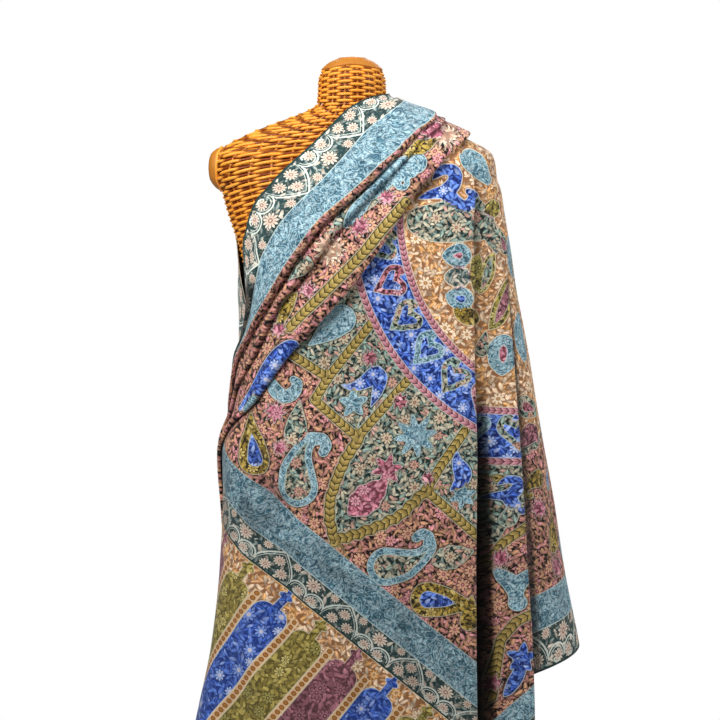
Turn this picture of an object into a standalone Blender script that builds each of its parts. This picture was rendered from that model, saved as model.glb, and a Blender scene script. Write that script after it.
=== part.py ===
"""Pashmina shawl draped over one shoulder of a limbless dress form on a stand.

Frame: metres, +Z up, origin at the centre of the stand base's underside. The front faces -Y.
The tables below are in millimetres. A ring is the section of the form or of the drape at one
height. An angle is measured round the Z axis in degrees from +X, and the front has negative ones.
"""

import math
from collections import namedtuple

import bmesh
import bpy
import numpy as np

MM = 0.001
WALL = 1.2  # thickness of the cloth
SHOULDER_GAP = 1.0  # between layers of cloth where they press on the shoulder
LOOSE_GAP = 1.8  # between layers elsewhere
SIDE_LIFT = 9.5  # how far the front layers stand out where they cross the back ones
HIDDEN = 22.0  # how far each layer runs on under the one above it
UNDER_SHOULDER = 6.4  # room on the shoulder, under the pleats, for the panels' own layers
CURL_TURN = math.radians(110)  # how far a fold's edge turns under
CURL_STEPS = 2
CURL_RADIUS = 5.5  # the largest radius of a fold's edge
CURL_CLEARANCE = 0.7  # between a fold's turned edge and the layer under it
SEAT = 1.2  # how far the front panel's hidden edge is pressed up against the pleat over it
HIGHEST, LOWEST = 1500.0, 300.0  # between these the panels' top edges are looked for
RECESS = 24.0  # depth of the hollow between the front panel's fold and the upright pleat
RECESS_TOP, RECESS_FALL = 1150.0, 300.0  # it begins at this height, and is full this far below

# The shoulder's end, where the layers press on each other, and the side where the layers cross.
SHOULDER_ANGLE, SHOULDER_FADE = math.radians(34), math.radians(26)
SHOULDER_HEIGHT, SHOULDER_RISE = 1375.0, 35.0
CROSSING_ANGLE, CROSSING_FADE = math.radians(-148), math.radians(18)
CROSSING_HEIGHT, CROSSING_RISE, CROSSING_TOP = 1210.0, 60.0, 0.75

# A strip across its width: the flat lead, the share that stays under the next one, and the rise.
LEAD = 7.0
LEAST_HIDDEN = 0.62
BARE_GAP = 0.3  # between the form and the top edge
GATHERED, GATHER_PLACE, GATHER_OVER = 0.7, -0.40, 0.08
TOP_LAYER = 3
COVER_MARGIN, COVER_SHARE = 16.0, 0.4
RISE_FROM, RISE_OVER = 0.55, 0.42
LEAST_RELIEF = 1.0

FormRing = namedtuple("FormRing", "height centre half_width front back power")
FORM_RINGS = (
    FormRing(1548, 0, 18, 18, 18, 2.0),
    FormRing(1543, 0, 31, 31, 31, 2.0),
    FormRing(1533, 0, 42, 42, 42, 2.0),
    FormRing(1519, 0, 46.5, 46.5, 46.5, 2.0),
    FormRing(1503, 0, 47, 47, 47, 2.0),
    FormRing(1490, 0, 49, 49, 49, 2.0),
    FormRing(1480, -1, 66, 51, 51, 1.9),
    FormRing(1470, -2, 91, 54, 54, 1.8),
    FormRing(1460, -3, 117, 57, 58, 1.8),
    FormRing(1450, -4, 139, 60, 62, 1.9),
    FormRing(1440, -5, 158, 65, 67, 2.0),
    FormRing(1431, -6, 170, 69, 72, 2.1),
    FormRing(1420, -6, 177, 74, 78, 2.8),
    FormRing(1405, -6, 178, 82, 87, 3.0),
    FormRing(1390, -6, 177, 90, 93, 2.9),
    FormRing(1373, -5, 171, 97, 98, 2.6),
    FormRing(1342, -4, 163, 107, 103, 2.35),
    FormRing(1295, -2, 149.5, 120, 106, 2.3),
    FormRing(1230, 0, 137, 114, 100, 2.2),
    FormRing(1180, 0, 129, 100, 94, 2.2),
    FormRing(1120, 0, 124, 92, 88, 2.2),
    FormRing(1060, 0, 132, 98, 96, 2.2),
    FormRing(1000, 0, 148, 106, 110, 2.2),
    FormRing(950, 0, 157, 108, 116, 2.2),
    FormRing(900, 0, 158, 106, 114, 2.2),
    FormRing(868, 0, 152, 100, 108, 2.2),
)
FORM_SIDES = 32
FORM_LEVELS = (
    (1548, 1543, 1534, 1520, 1504, 1492, 1485, 1478, 1471, 1464, 1457, 1450, 1442, 1434)
    + (1425, 1415, 1402, 1388, 1372, 1350, 1322, 1290, 1250, 1205, 1160, 1110)
    + (1060, 1005, 950, 900, 868)
)
FORM_TOP = 1550.0

CAP_HALF_HEIGHT, CAP_HALF_DEPTH, CAP_BULGE = 25.0, 42.0, 10.0
CAP_HEIGHT = 1402.0

POLE_RADIUS, POLE_BOTTOM, POLE_TOP = 15.0, 26.3, 867.7
COLLAR_RADIUS, COLLAR_HEIGHT = 30.0, 46.0
BASE_RADIUS, BASE_HEIGHT, BASE_EDGE = 185.0, 26.0, 6.0

# The innermost layer of cloth, all round: the form's shoulders above, the free fall below.
DrapeRing = namedtuple("DrapeRing", "height left right front back power")
DRAPE_RINGS = (
    DrapeRing(1512, 48.6, 48.6, 48.6, 48.6, 2.0),
    DrapeRing(1500, 48.8, 48.8, 48.8, 48.8, 2.0),
    DrapeRing(1490, 51, 51, 51, 51, 2.0),
    DrapeRing(1480, 69, 67, 53.5, 53.5, 1.9),
    DrapeRing(1470, 95, 91, 57, 57, 1.8),
    DrapeRing(1460, 122, 116, 60, 61, 1.8),
    DrapeRing(1450, 145, 137, 63.5, 65.5, 1.9),
    DrapeRing(1440, 166, 156, 69, 71, 2.0),
    DrapeRing(1431, 179, 174, 73.5, 76.5, 2.1),
    DrapeRing(1420, 189, 187, 79, 83, 2.7),
    DrapeRing(1405, 192, 191, 87, 92, 2.9),
    DrapeRing(1390, 187, 192.5, 95, 98, 2.8),
    DrapeRing(1373, 179, 198, 102, 103, 2.55),
    DrapeRing(1342, 169, 203, 113, 109, 2.35),
    DrapeRing(1295, 153, 211, 125, 112, 2.3),
    DrapeRing(1240, 148, 219, 127, 111, 2.3),
    DrapeRing(1200, 143, 227, 126, 110, 2.3),
    DrapeRing(1136, 140, 239, 127, 112, 2.3),
    DrapeRing(1080, 145, 248, 131, 118, 2.3),
    DrapeRing(1026, 163, 257, 137, 126, 2.25),
    DrapeRing(961, 162, 268, 142, 133, 2.2),
    DrapeRing(870, 165, 281, 147, 138, 2.2),
    DrapeRing(768, 175, 300, 153, 144, 2.2),
    DrapeRing(668, 195, 314, 160, 150, 2.2),
    DrapeRing(500, 226, 330, 168, 156, 2.2),
    DrapeRing(340, 238, 336, 172, 160, 2.2),
)

# The long edge and the three folds that run from the shoulder's ridge down to the wearer's side.
# The back mirrors the rows of FRONT. TAIL goes on round the side and down to the hem, in front only.
FoldPoint = namedtuple("FoldPoint", "x height")
TailPoint = namedtuple("TailPoint", "angle height")
Fold = namedtuple("Fold", "ridge front tail mirrored back_end")
TOP_EDGE = Fold(
    ridge=1503,
    front=(
        FoldPoint(34, 1500),
        FoldPoint(-2, 1484),
        FoldPoint(-37, 1450),
        FoldPoint(-73, 1415.7),
        FoldPoint(-109, 1379.8),
        FoldPoint(-129, 1355.8),
        FoldPoint(-139, 1323),
        FoldPoint(-141, 1294.6),
        FoldPoint(-136, 1227),
        FoldPoint(-134, 1185),
    ),
    tail=(
        TailPoint(-176, 1140),
        TailPoint(-196, 1095),
        TailPoint(-213, 1040),
        TailPoint(-223, 970),
        TailPoint(-226, 880),
        TailPoint(-227, 645),
    ),
    mirrored=5,
    back_end=(
        TailPoint(-163, 1332),
        TailPoint(-177, 1292),
        TailPoint(-188, 1262),
        TailPoint(-196, 1228),
        TailPoint(-200, 1185),
        TailPoint(-202, 1135),
    ),
)
FOLD_A = Fold(
    ridge=1465,
    front=(
        FoldPoint(87, 1444),
        FoldPoint(63.8, 1421),
        FoldPoint(33.9, 1394.4),
        FoldPoint(-1.3, 1362.5),
        FoldPoint(-37.2, 1331.9),
        FoldPoint(-63.8, 1298.6),
        FoldPoint(-77.1, 1278.7),
        FoldPoint(-101, 1236),
        FoldPoint(-123, 1192),
        FoldPoint(-133, 1160),
    ),
    tail=(
        TailPoint(-173, 1115),
        TailPoint(-190, 1070),
        TailPoint(-204, 1010),
        TailPoint(-212, 940),
        TailPoint(-215, 860),
        TailPoint(-216, 620),
    ),
    mirrored=10,
    back_end=(TailPoint(-184, 1124), TailPoint(-194, 1100)),
)
FOLD_A2 = Fold(
    ridge=1459,
    front=(
        FoldPoint(95.8, 1438),
        FoldPoint(71.8, 1413),
        FoldPoint(42.6, 1385),
        FoldPoint(8, 1350),
        FoldPoint(-28, 1311),
        FoldPoint(-44, 1288),
        FoldPoint(-70, 1255),
        FoldPoint(-94, 1222),
        FoldPoint(-117, 1172),
        FoldPoint(-130, 1137),
    ),
    tail=(
        TailPoint(-170, 1092),
        TailPoint(-185, 1045),
        TailPoint(-197, 985),
        TailPoint(-204, 915),
        TailPoint(-207, 850),
        TailPoint(-208, 600),
    ),
    mirrored=10,
    back_end=(TailPoint(-183, 1106), TailPoint(-192, 1082)),
)
FOLD_B = Fold(
    ridge=1442,
    front=(
        FoldPoint(126.4, 1418.3),
        FoldPoint(108.5, 1399.7),
        FoldPoint(87.1, 1380),
        FoldPoint(69.2, 1357),
        FoldPoint(54.5, 1332.5),
        FoldPoint(29.3, 1294.6),
        FoldPoint(2.7, 1257.4),
        FoldPoint(-63.2, 1180.9),
        FoldPoint(-91.8, 1146),
        FoldPoint(-119, 1104),
    ),
    tail=(
        TailPoint(-163, 1063),
        TailPoint(-177, 1022),
        TailPoint(-189, 965),
        TailPoint(-196, 900),
        TailPoint(-199, 850),
        TailPoint(-200, 578),
    ),
    mirrored=10,
    back_end=(TailPoint(-182, 1038), TailPoint(-190, 1015)),
)
FOLDS = (TOP_EDGE, FOLD_A, FOLD_A2, FOLD_B)

# Heights of the upright folds at the right, and how far round they lie.
UprightPoint = namedtuple("UprightPoint", "height x relief")
FRONT_FOLD = (
    UprightPoint(1434, 131, 1.2),
    UprightPoint(1415, 143, 1.4),
    UprightPoint(1393, 154, 2.0),
    UprightPoint(1366, 159, 4.0),
    UprightPoint(1300, 155, 7.0),
    UprightPoint(1100, 156, 15.0),
    UprightPoint(900, 156, 20.0),
    UprightPoint(480, 154.5, 24.0),
)
SIDE_FOLD = (
    UprightPoint(1443, 140, 1.6),
    UprightPoint(1425, 160, 1.6),
    UprightPoint(1398, 179, 1.3),
    UprightPoint(1360, 190.5, 1.6),
    UprightPoint(1320, 196.5, 2.5),
    UprightPoint(1240, 199.5, 5.0),
    UprightPoint(1134, 205.5, 8.0),
    UprightPoint(1026, 212.5, 9.5),
    UprightPoint(898, 219.5, 11.0),
    UprightPoint(731, 228.5, 12.0),
    UprightPoint(560, 229, 12.0),
)

HemPoint = namedtuple("HemPoint", "angle height")
FRONT_HEM = (
    HemPoint(-225, 650),
    HemPoint(-199, 575),
    HemPoint(-180, 509),
    HemPoint(-138, 456),
    HemPoint(-116, 399),
    HemPoint(-97, 348),
    HemPoint(-70, 408),
    HemPoint(-53, 455),
    HemPoint(-42, 491),
    HemPoint(-30, 520),
)
SIDE_HEM = (HemPoint(-60, 545), HemPoint(-38, 580), HemPoint(-25, 636), HemPoint(-10, 660))
OUTER_HEM = (
    HemPoint(-40, 700),
    HemPoint(-23, 731),
    HemPoint(-4, 762),
    HemPoint(0, 768),
    HemPoint(4, 762),
    HemPoint(23, 731),
    HemPoint(50, 690),
)
BACK_HEM = (
    HemPoint(30, 540),
    HemPoint(42, 510),
    HemPoint(70, 426),
    HemPoint(97, 364),
    HemPoint(116, 415),
    HemPoint(138, 472),
    HemPoint(180, 540),
    HemPoint(200, 560),
)

LINEN = {"colour": (0.36, 0.24, 0.22, 1.0), "roughness": 0.8}
TEAL = {"colour": (0.13, 0.32, 0.38, 1.0), "roughness": 0.75}
RATTAN = {"colour": (0.72, 0.34, 0.06, 1.0), "roughness": 0.35}
WOOD = {"colour": (0.20, 0.09, 0.04, 1.0), "roughness": 0.4}


def smooth_step(t):
    """0 below 0, 1 above 1, smooth between them."""
    t = np.clip(t, 0.0, 1.0)
    return t * t * (3.0 - 2.0 * t)


def curve_through(xs, ys):
    """A function through the points that doesn't overshoot them (monotone cubic)."""
    xs, ys = np.asarray(xs, float), np.asarray(ys, float)
    if xs[0] > xs[-1]:
        xs, ys = xs[::-1], ys[::-1]
    step = np.diff(xs)
    slope = np.diff(ys) / step
    tangent = np.zeros(len(xs))
    for i in range(1, len(xs) - 1):
        if slope[i - 1] * slope[i] > 0:
            before, after = 2 * step[i] + step[i - 1], step[i] + 2 * step[i - 1]
            tangent[i] = (before + after) / (before / slope[i - 1] + after / slope[i])
    tangent[0], tangent[-1] = slope[0], slope[-1]

    def value(x):
        x = np.asarray(x, float)
        i = np.clip(np.searchsorted(xs, x) - 1, 0, len(step) - 1)
        t = np.clip((x - xs[i]) / step[i], 0.0, 1.0)
        t2, t3 = t * t, t * t * t
        return (
            (2 * t3 - 3 * t2 + 1) * ys[i]
            + (t3 - 2 * t2 + t) * step[i] * tangent[i]
            + (3 * t2 - 2 * t3) * ys[i + 1]
            + (t3 - t2) * step[i] * tangent[i + 1]
        )

    return value


def column(rows, name):
    return [getattr(row, name) for row in rows]


DRAPE = {
    name: curve_through(column(DRAPE_RINGS, "height"), column(DRAPE_RINGS, name))
    for name in ("left", "right", "front", "back", "power")
}


def on_drape(angle, height):
    """The point of the innermost layer at this angle (radians) and height."""
    cos, sin = np.cos(angle), np.sin(angle)
    across = np.where(cos >= 0, DRAPE["right"](height), DRAPE["left"](height))
    deep = np.where(sin >= 0, DRAPE["back"](height), DRAPE["front"](height))
    power = DRAPE["power"](height)
    reach = (np.abs(cos / across) ** power + np.abs(sin / deep) ** power) ** (-1.0 / power)
    return np.stack([reach * cos, reach * sin, height + 0.0 * reach], axis=-1)


def outwards(angle, height):
    """The drape's outward unit normal."""
    da, dh = 0.004, 1.5
    round_it = on_drape(angle + da, height) - on_drape(angle - da, height)
    up_it = on_drape(angle, height + dh) - on_drape(angle, height - dh)
    normal = np.cross(round_it, up_it)
    return normal / np.linalg.norm(normal, axis=-1, keepdims=True)


def raised(angle, height, offset):
    """The point that lies this far out from the innermost layer."""
    return on_drape(angle, height) + outwards(angle, height) * np.asarray(offset)[..., None]


def angle_in_front(x, height):
    """The (negative) angle at which the drape's front has this x."""
    across = DRAPE["right"](height) if x >= 0 else DRAPE["left"](height)
    share = min(abs(x) / float(across), 0.9999)
    power = float(DRAPE["power"](height))
    y = -float(DRAPE["front"](height)) * (1.0 - share**power) ** (1.0 / power)
    return math.atan2(y, x)


def near_shoulder(angle, height):
    """1 on the shoulder's end, 0 away from it and below it."""
    beside = 1.0 - smooth_step((np.abs(angle) - SHOULDER_ANGLE) / SHOULDER_FADE)
    return beside * smooth_step((height - SHOULDER_HEIGHT) / SHOULDER_RISE)


def curl_radius(relief):
    """A fold's edge stays clear of what lies under it."""
    return np.minimum((relief - CURL_CLEARANCE) / (1.0 - math.cos(CURL_TURN)), CURL_RADIUS)


def layer_pitch(angle, height):
    return WALL + LOOSE_GAP + (SHOULDER_GAP - LOOSE_GAP) * near_shoulder(angle, height)


def side_lift(angle, height):
    """How far the front layers stand out to pass over the back ones."""
    turned = smooth_step((CROSSING_ANGLE - angle) / CROSSING_FADE)
    full = smooth_step((CROSSING_HEIGHT - height) / CROSSING_RISE)
    return SIDE_LIFT * turned * (CROSSING_TOP + (1.0 - CROSSING_TOP) * full)


# ---------------------------------------------------------------- the diagonal folds


def fold_line(fold):
    """Angle and height along a fold by f: -1 at the front's hem, 0 on the ridge, 1 at the back's end."""
    front = [(angle_in_front(p.x, p.height), p.height) for p in fold.front]
    tail = [(math.radians(p.angle), p.height) for p in fold.tail]
    # The back mirrors the front's angles, and goes on under the front's layers.
    end = [(-math.radians(p.angle), p.height) for p in fold.back_end]
    ridge = (0.0, fold.ridge)
    ahead = [ridge] + front + tail
    behind = [ridge] + [(-a, h) for a, h in front[: fold.mirrored]] + end

    def lengths(points):
        places = np.array([on_drape(a, h) for a, h in points])
        return np.concatenate([[0.0], np.cumsum(np.linalg.norm(np.diff(places, axis=0), axis=1))])

    ahead_at, behind_at = lengths(ahead), lengths(behind)
    along = np.concatenate([-(ahead_at / ahead_at[-1])[::-1], (behind_at / behind_at[-1])[1:]])
    points = ahead[::-1] + behind[1:]
    angles = curve_through(along, [p[0] for p in points])
    heights = curve_through(along, [p[1] for p in points])
    return angles, heights


FOLD_LINES = [fold_line(fold) for fold in FOLDS]


def across_folds(f):
    """Angles, heights and distances of the four lines at f, from the top edge on."""
    angles = np.array([line[0](f) for line in FOLD_LINES])
    heights = np.array([line[1](f) for line in FOLD_LINES])
    places = on_drape(angles, heights)
    steps = np.linalg.norm(np.diff(places, axis=0), axis=1)
    return angles, heights, np.concatenate([[0.0], np.cumsum(steps)])


def place_across(lines, distance):
    """Angle and height at a distance from the top edge, carried on straight past the last fold."""
    angles, heights, at = lines
    beyond = max(0.0, distance - at[-1])
    rate = beyond / (at[-1] - at[-2])
    angle = np.interp(distance, at, angles) + rate * (angles[-1] - angles[-2])
    height = np.interp(distance, at, heights) + rate * (heights[-1] - heights[-2])
    return angle, height


RELIEF = (
    # f, relief of fold B, of fold A2 and of fold A: how far each fold's edge stands out
    (-1.00, 6.0, 5.0, 5.0),
    (-0.75, 4.0, 4.0, 4.0),
    (-0.52, 4.0, 2.6, 3.0),
    (-0.30, 10.0, 6.0, 8.0),
    (-0.18, 11.0, 6.0, 9.0),
    (-0.08, 4.0, 2.4, 4.0),
    (0.00, 1.6, 1.2, 2.0),
    (0.12, 3.0, 2.0, 3.0),
    (0.40, 8.0, 5.0, 7.0),
    (0.75, 4.0, 2.0, 3.0),
    (0.86, 1.2, 1.2, 1.2),
    (1.00, 1.2, 1.2, 1.2),
)
RELIEF_OF = [
    curve_through([row[0] for row in RELIEF], [row[k] for row in RELIEF]) for k in (1, 2, 3)
]


def floor_of(layer, angle, height, f):
    """How far out the underside of this layer's folded edge lies. Layer 1 is the lowest pleat."""
    over_upright = UNDER_SHOULDER * near_shoulder(angle, height)
    lift = side_lift(angle, height) if f < 0 else 0.0
    return layer * layer_pitch(angle, height) + over_upright + lift


def strip_section(f, layer, main_steps):
    """The points across one strip at f: its main width and the curl at its lower edge."""
    lines = across_folds(f)
    at = lines[2]
    lower = at[4 - layer]
    upper = at[3 - layer]
    shown = lower - upper
    relief = float(RELIEF_OF[layer - 1](f))
    lead = min(LEAD, 0.5 * shown)
    points = []
    if layer == TOP_LAYER:
        distances = np.linspace(0.0, lower, main_steps + 1)
    else:
        relief = max(LEAST_RELIEF, min(relief, COVER_SHARE * shown))
        start = max(upper - HIDDEN, LEAST_HIDDEN * upper)
        hidden = [start, 0.5 * (start + upper)]
        distances = hidden + list(np.linspace(upper + lead, lower, main_steps - 1))
    for d in distances:
        angle, height = place_across(lines, d)
        floor = floor_of(layer, angle, height, f)
        if layer == TOP_LAYER:
            covered = smooth_step(d / max(shown - HIDDEN - COVER_MARGIN, COVER_SHARE * shown))
            lift = side_lift(angle, height) if f < 0 else 0.0
            gathered = GATHERED * float(smooth_step((GATHER_PLACE - f) / GATHER_OVER))
            bare = BARE_GAP + lift + gathered * (floor - lift)
            offset = bare + (floor - bare) * covered
            rise = smooth_step((d - upper - RISE_FROM * shown) / (RISE_OVER * shown))
        else:
            offset = floor
            rise = smooth_step((d - upper - lead) / (shown - lead))
        points.append((angle, height, offset + relief * rise))
    angle, height = place_across(lines, lower)
    top = floor_of(layer, angle, height, f) + relief
    radius = float(curl_radius(relief))
    for i in range(1, CURL_STEPS + 1):
        turn = CURL_TURN * i / CURL_STEPS
        angle, height = place_across(lines, lower + radius * math.sin(turn))
        points.append((angle, height, top - radius * (1.0 - math.cos(turn))))
    return points


STRIP_PLACES = (
    [-1.0, -0.9, -0.81, -0.74, -0.69, -0.65, -0.62]
    + list(np.linspace(-0.60, -0.09, 24))
    + list(np.linspace(-0.09, 0.13, 13))[1:]
    + list(np.linspace(0.13, 1.0, 19))[1:]
)


def strip_grid(layer, main_steps):
    """Rows of points for one strip, from the front's hem over the shoulder to the back."""
    sections = np.array([strip_section(f, layer, main_steps) for f in STRIP_PLACES])
    return raised(sections[..., 0], sections[..., 1], sections[..., 2])


# ---------------------------------------------------------------- the panels


def upright_line(points, sign=-1):
    """Angle and relief of an upright fold as functions of height."""
    heights = column(points, "height")
    angles = [-sign * angle_in_front(p.x, p.height) for p in points]
    return curve_through(heights, angles), curve_through(heights, column(points, "relief"))


FRONT_FOLD_ANGLE, FRONT_FOLD_RELIEF = upright_line(FRONT_FOLD)
SIDE_FOLD_ANGLE, SIDE_FOLD_RELIEF = upright_line(SIDE_FOLD)
FRONT_LEFT = math.radians(-206)
BACK_LEFT = math.radians(192)


def hidden_top(side):
    """Height, by angle, of a panel's top edge under fold B. side is -1 in front and 1 behind."""
    pairs = []
    for f in np.linspace(0.0, 1.0, 240):
        lines = across_folds(side * f)
        pairs.append(place_across(lines, lines[2][3] - min(HIDDEN, 0.3 * lines[2][3])))
    angles = np.array([abs(a) for a, _ in pairs])
    heights = np.array([h for _, h in pairs])
    rising = np.maximum.accumulate(angles)
    keep = np.concatenate([[True], np.diff(rising) > 1e-4])
    return lambda angle: np.interp(np.abs(angle), rising[keep], heights[keep])


FRONT_TOP, BACK_TOP = hidden_top(-1), hidden_top(1)


def by_angle(points):
    angles = [math.radians(p.angle) for p in points]
    return lambda angle: np.interp(angle, angles, column(points, "height"))


def panel_column(angle_at, top, hem, rows, crowd=1.6):
    """Angles and heights down one column, whose angle depends on the height."""
    low, high = LOWEST, HIGHEST
    for _ in range(50):
        middle = 0.5 * (low + high)
        if middle > top(angle_at(middle)):
            high = middle
        else:
            low = middle
    start = low
    end = start
    for _ in range(30):
        end = float(hem(angle_at(end)))
    shares = np.linspace(0.0, 1.0, rows + 1) ** crowd
    heights = start + (end - start) * shares
    return np.array([angle_at(h) for h in heights]), heights


def curl_columns(angles, heights, top, radius, direction):
    """Columns that turn a panel's upright edge under. radius is a row of values."""
    found = []
    for i in range(1, CURL_STEPS + 1):
        turn = CURL_TURN * i / CURL_STEPS
        here = on_drape(angles, heights)
        reach = np.linalg.norm(here[:, :2], axis=1)
        step = direction * radius * math.sin(turn) / reach
        found.append((angles + step, heights, top - radius * (1.0 - math.cos(turn))))
    return found


def panel_grid(left, right, top, hem, columns, rows, offset, relief=None, direction=1):
    """Rows of points for a panel between two upright lines; with a relief its right edge curls under."""
    found = []
    crowd = 1.35 if relief else 1.0
    for i in range(columns + 1):
        share = 1.0 - (1.0 - i / columns) ** crowd

        def angle_at(h, share=share):
            return float(left(h) + (right(h) - left(h)) * share)

        angles, heights = panel_column(angle_at, top, hem, rows)
        found.append((angles, heights, offset(share, angles, heights)))
    if relief:
        angles, heights, out = found[-1]
        found += curl_columns(angles, heights, out, curl_radius(relief(heights)), direction)
    table = np.array(found)
    return raised(table[:, 0], table[:, 1], table[:, 2])


def constant(value):
    return lambda height: value


def soft_waves(angle, height, depth, turns, slant):
    """Shallow folds that grow from nothing at the chest to their full depth at the hem."""
    grown = smooth_step((1150.0 - height) / 600.0)
    return depth * grown * (0.5 + 0.5 * np.sin(turns * angle + slant * height / 1000.0))


def front_offset(share, angles, heights):
    floor = 2 * layer_pitch(angles, heights)
    start = 0.80 + 0.08 * smooth_step((heights - 1250.0) / 130.0)
    rise = smooth_step((share - start) / (1.0 - start))
    tucked = np.maximum(rise, near_shoulder(angles, heights))
    below_top = FRONT_TOP(angles) - heights
    clear = smooth_step((share - 0.08) / 0.2) * smooth_step((below_top - 60.0) / 120.0)
    waves = soft_waves(angles, heights, 7.0, 7.0, 5.0) * clear
    relief = FRONT_FOLD_RELIEF(heights) * rise
    at_edge = smooth_step((heights - FRONT_TOP(angles) + 12.0) / 10.0)
    seated = SEAT * at_edge * (1.0 - near_shoulder(angles, heights))
    return floor * tucked + side_lift(angles, heights) + relief + waves * (1.0 - rise) + seated


def side_offset(share, angles, heights):
    rise = smooth_step((share - 0.66) / 0.34)
    across = smooth_step(share / 0.22) * (1.0 - smooth_step((share - 0.34) / 0.22))
    hollow = RECESS * across * smooth_step((RECESS_TOP - heights) / RECESS_FALL)
    return layer_pitch(angles, heights) + SIDE_FOLD_RELIEF(heights) * rise - hollow


def outer_offset(share, angles, heights):
    middle = smooth_step((share - 0.2) / 0.25) * smooth_step((0.8 - share) / 0.25)
    return soft_waves(angles, heights, 5.0, 11.0, 3.0) * middle + 0.0 * heights


def back_offset(share, angles, heights):
    floor = layer_pitch(angles, heights)
    start = 0.82 + 0.06 * smooth_step((heights - 1250.0) / 130.0)
    rise = smooth_step((share - start) / (1.0 - start))
    tucked = np.maximum(rise, near_shoulder(angles, heights))
    waves = soft_waves(angles, heights, 8.0, 8.0, 4.0)
    inner = smooth_step((math.radians(165) - angles) / math.radians(20))
    relief = 0.8 * FRONT_FOLD_RELIEF(heights) * rise
    return floor * tucked + relief + waves * (1.0 - rise) * inner


def under(line, distance, side):
    """The upright line moved sideways, under the layer that covers it."""

    def angle(height):
        at = float(line(height))
        here = on_drape(np.array(at), np.array(float(height)))
        return at + side * distance(height) / float(np.linalg.norm(here[:2]))

    return angle


def tuck(height):
    """How far an upright layer runs on under its neighbour: little on the shoulder, more below."""
    return 8.0 + 26.0 * float(smooth_step((1430.0 - height) / 200.0))


def front_panel():
    return panel_grid(
        constant(FRONT_LEFT),
        FRONT_FOLD_ANGLE,
        FRONT_TOP,
        by_angle(FRONT_HEM),
        22,
        27,
        front_offset,
        relief=FRONT_FOLD_RELIEF,
    )


def side_pleat():
    return panel_grid(
        under(FRONT_FOLD_ANGLE, tuck, -1),
        SIDE_FOLD_ANGLE,
        FRONT_TOP,
        by_angle(SIDE_HEM),
        8,
        28,
        side_offset,
        relief=SIDE_FOLD_RELIEF,
    )


def outer_fall():
    def ridge_top(angle):
        return np.where(np.asarray(angle) < 0, FRONT_TOP(angle), BACK_TOP(angle))

    return panel_grid(
        under(SIDE_FOLD_ANGLE, tuck, -1),
        under(lambda h: -FRONT_FOLD_ANGLE(h), tuck, 1),
        ridge_top,
        by_angle(OUTER_HEM),
        16,
        28,
        outer_offset,
    )


def back_panel():
    return panel_grid(
        constant(BACK_LEFT),
        lambda h: -FRONT_FOLD_ANGLE(h),
        BACK_TOP,
        by_angle(BACK_HEM),
        19,
        24,
        back_offset,
        relief=lambda h: 0.8 * FRONT_FOLD_RELIEF(h),
        direction=-1,
    )


# ---------------------------------------------------------------- objects


def material(name, colour, roughness):
    made = bpy.data.materials.new(name)
    made.use_nodes = True
    shader = made.node_tree.nodes["Principled BSDF"]
    shader.inputs["Base Color"].default_value = colour
    shader.inputs["Roughness"].default_value = roughness
    return made


def add(collection, name, mesh, finish):
    obj = bpy.data.objects.new(name, mesh)
    collection.objects.link(obj)
    obj.data.materials.append(material(name + "_finish", finish["colour"], finish["roughness"]))
    return obj


def cloth(collection, name, grid, finish):
    """A sheet through the grid's points, thickened outwards."""
    rows, columns = grid.shape[:2]
    points = [tuple(p * MM) for p in grid.reshape(-1, 3)]
    first = grid[rows // 2, columns // 2]
    along = grid[rows // 2 + 1, columns // 2] - first
    across = grid[rows // 2, columns // 2 + 1] - first
    facing = np.cross(along, across)
    flip = float(np.dot(facing[:2], first[:2])) < 0.0
    faces = []
    for i in range(rows - 1):
        for j in range(columns - 1):
            a, b = i * columns + j, (i + 1) * columns + j
            face = (a, b, b + 1, a + 1)
            faces.append(face[::-1] if flip else face)
    mesh = bpy.data.meshes.new(name)
    mesh.from_pydata(points, [], faces)
    mesh.validate()
    mesh.shade_smooth()
    obj = add(collection, name, mesh, finish)
    solid = obj.modifiers.new("thickness", "SOLIDIFY")
    solid.thickness = WALL * MM
    solid.offset = 1.0
    solid.use_rim = True
    return obj


def torso(collection):
    """The dress form: rings from the dome of its neck down to its flat underside."""
    heights = column(FORM_RINGS, "height")
    shape = {
        name: curve_through(heights, column(FORM_RINGS, name))
        for name in ("centre", "half_width", "front", "back", "power")
    }
    levels = FORM_LEVELS
    angles = np.arange(FORM_SIDES) * 2 * math.pi / FORM_SIDES
    cos, sin = np.cos(angles), np.sin(angles)
    points = [(0.0, 0.0, FORM_TOP)]
    for level in levels:
        size = {name: float(value(level)) for name, value in shape.items()}
        deep = np.where(sin >= 0, size["back"], size["front"])
        power = size["power"]
        reach = (np.abs(cos / size["half_width"]) ** power + np.abs(sin / deep) ** power) ** (-1 / power)
        points += [(size["centre"] + r * c, r * s, level) for r, c, s in zip(reach, cos, sin)]
    faces = [(0, 1 + j, 1 + (j + 1) % FORM_SIDES) for j in range(FORM_SIDES)]
    for i in range(len(levels) - 1):
        for j in range(FORM_SIDES):
            a, b = 1 + i * FORM_SIDES + j, 1 + i * FORM_SIDES + (j + 1) % FORM_SIDES
            faces.append((a, a + FORM_SIDES, b + FORM_SIDES, b))
    last = 1 + (len(levels) - 1) * FORM_SIDES
    faces.append(tuple(last + j for j in reversed(range(FORM_SIDES))))
    mesh = bpy.data.meshes.new("form_torso")
    mesh.from_pydata([tuple(v * MM for v in p) for p in points], [], faces)
    mesh.validate()
    mesh.shade_smooth()
    return add(collection, "form_torso", mesh, RATTAN)


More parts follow.
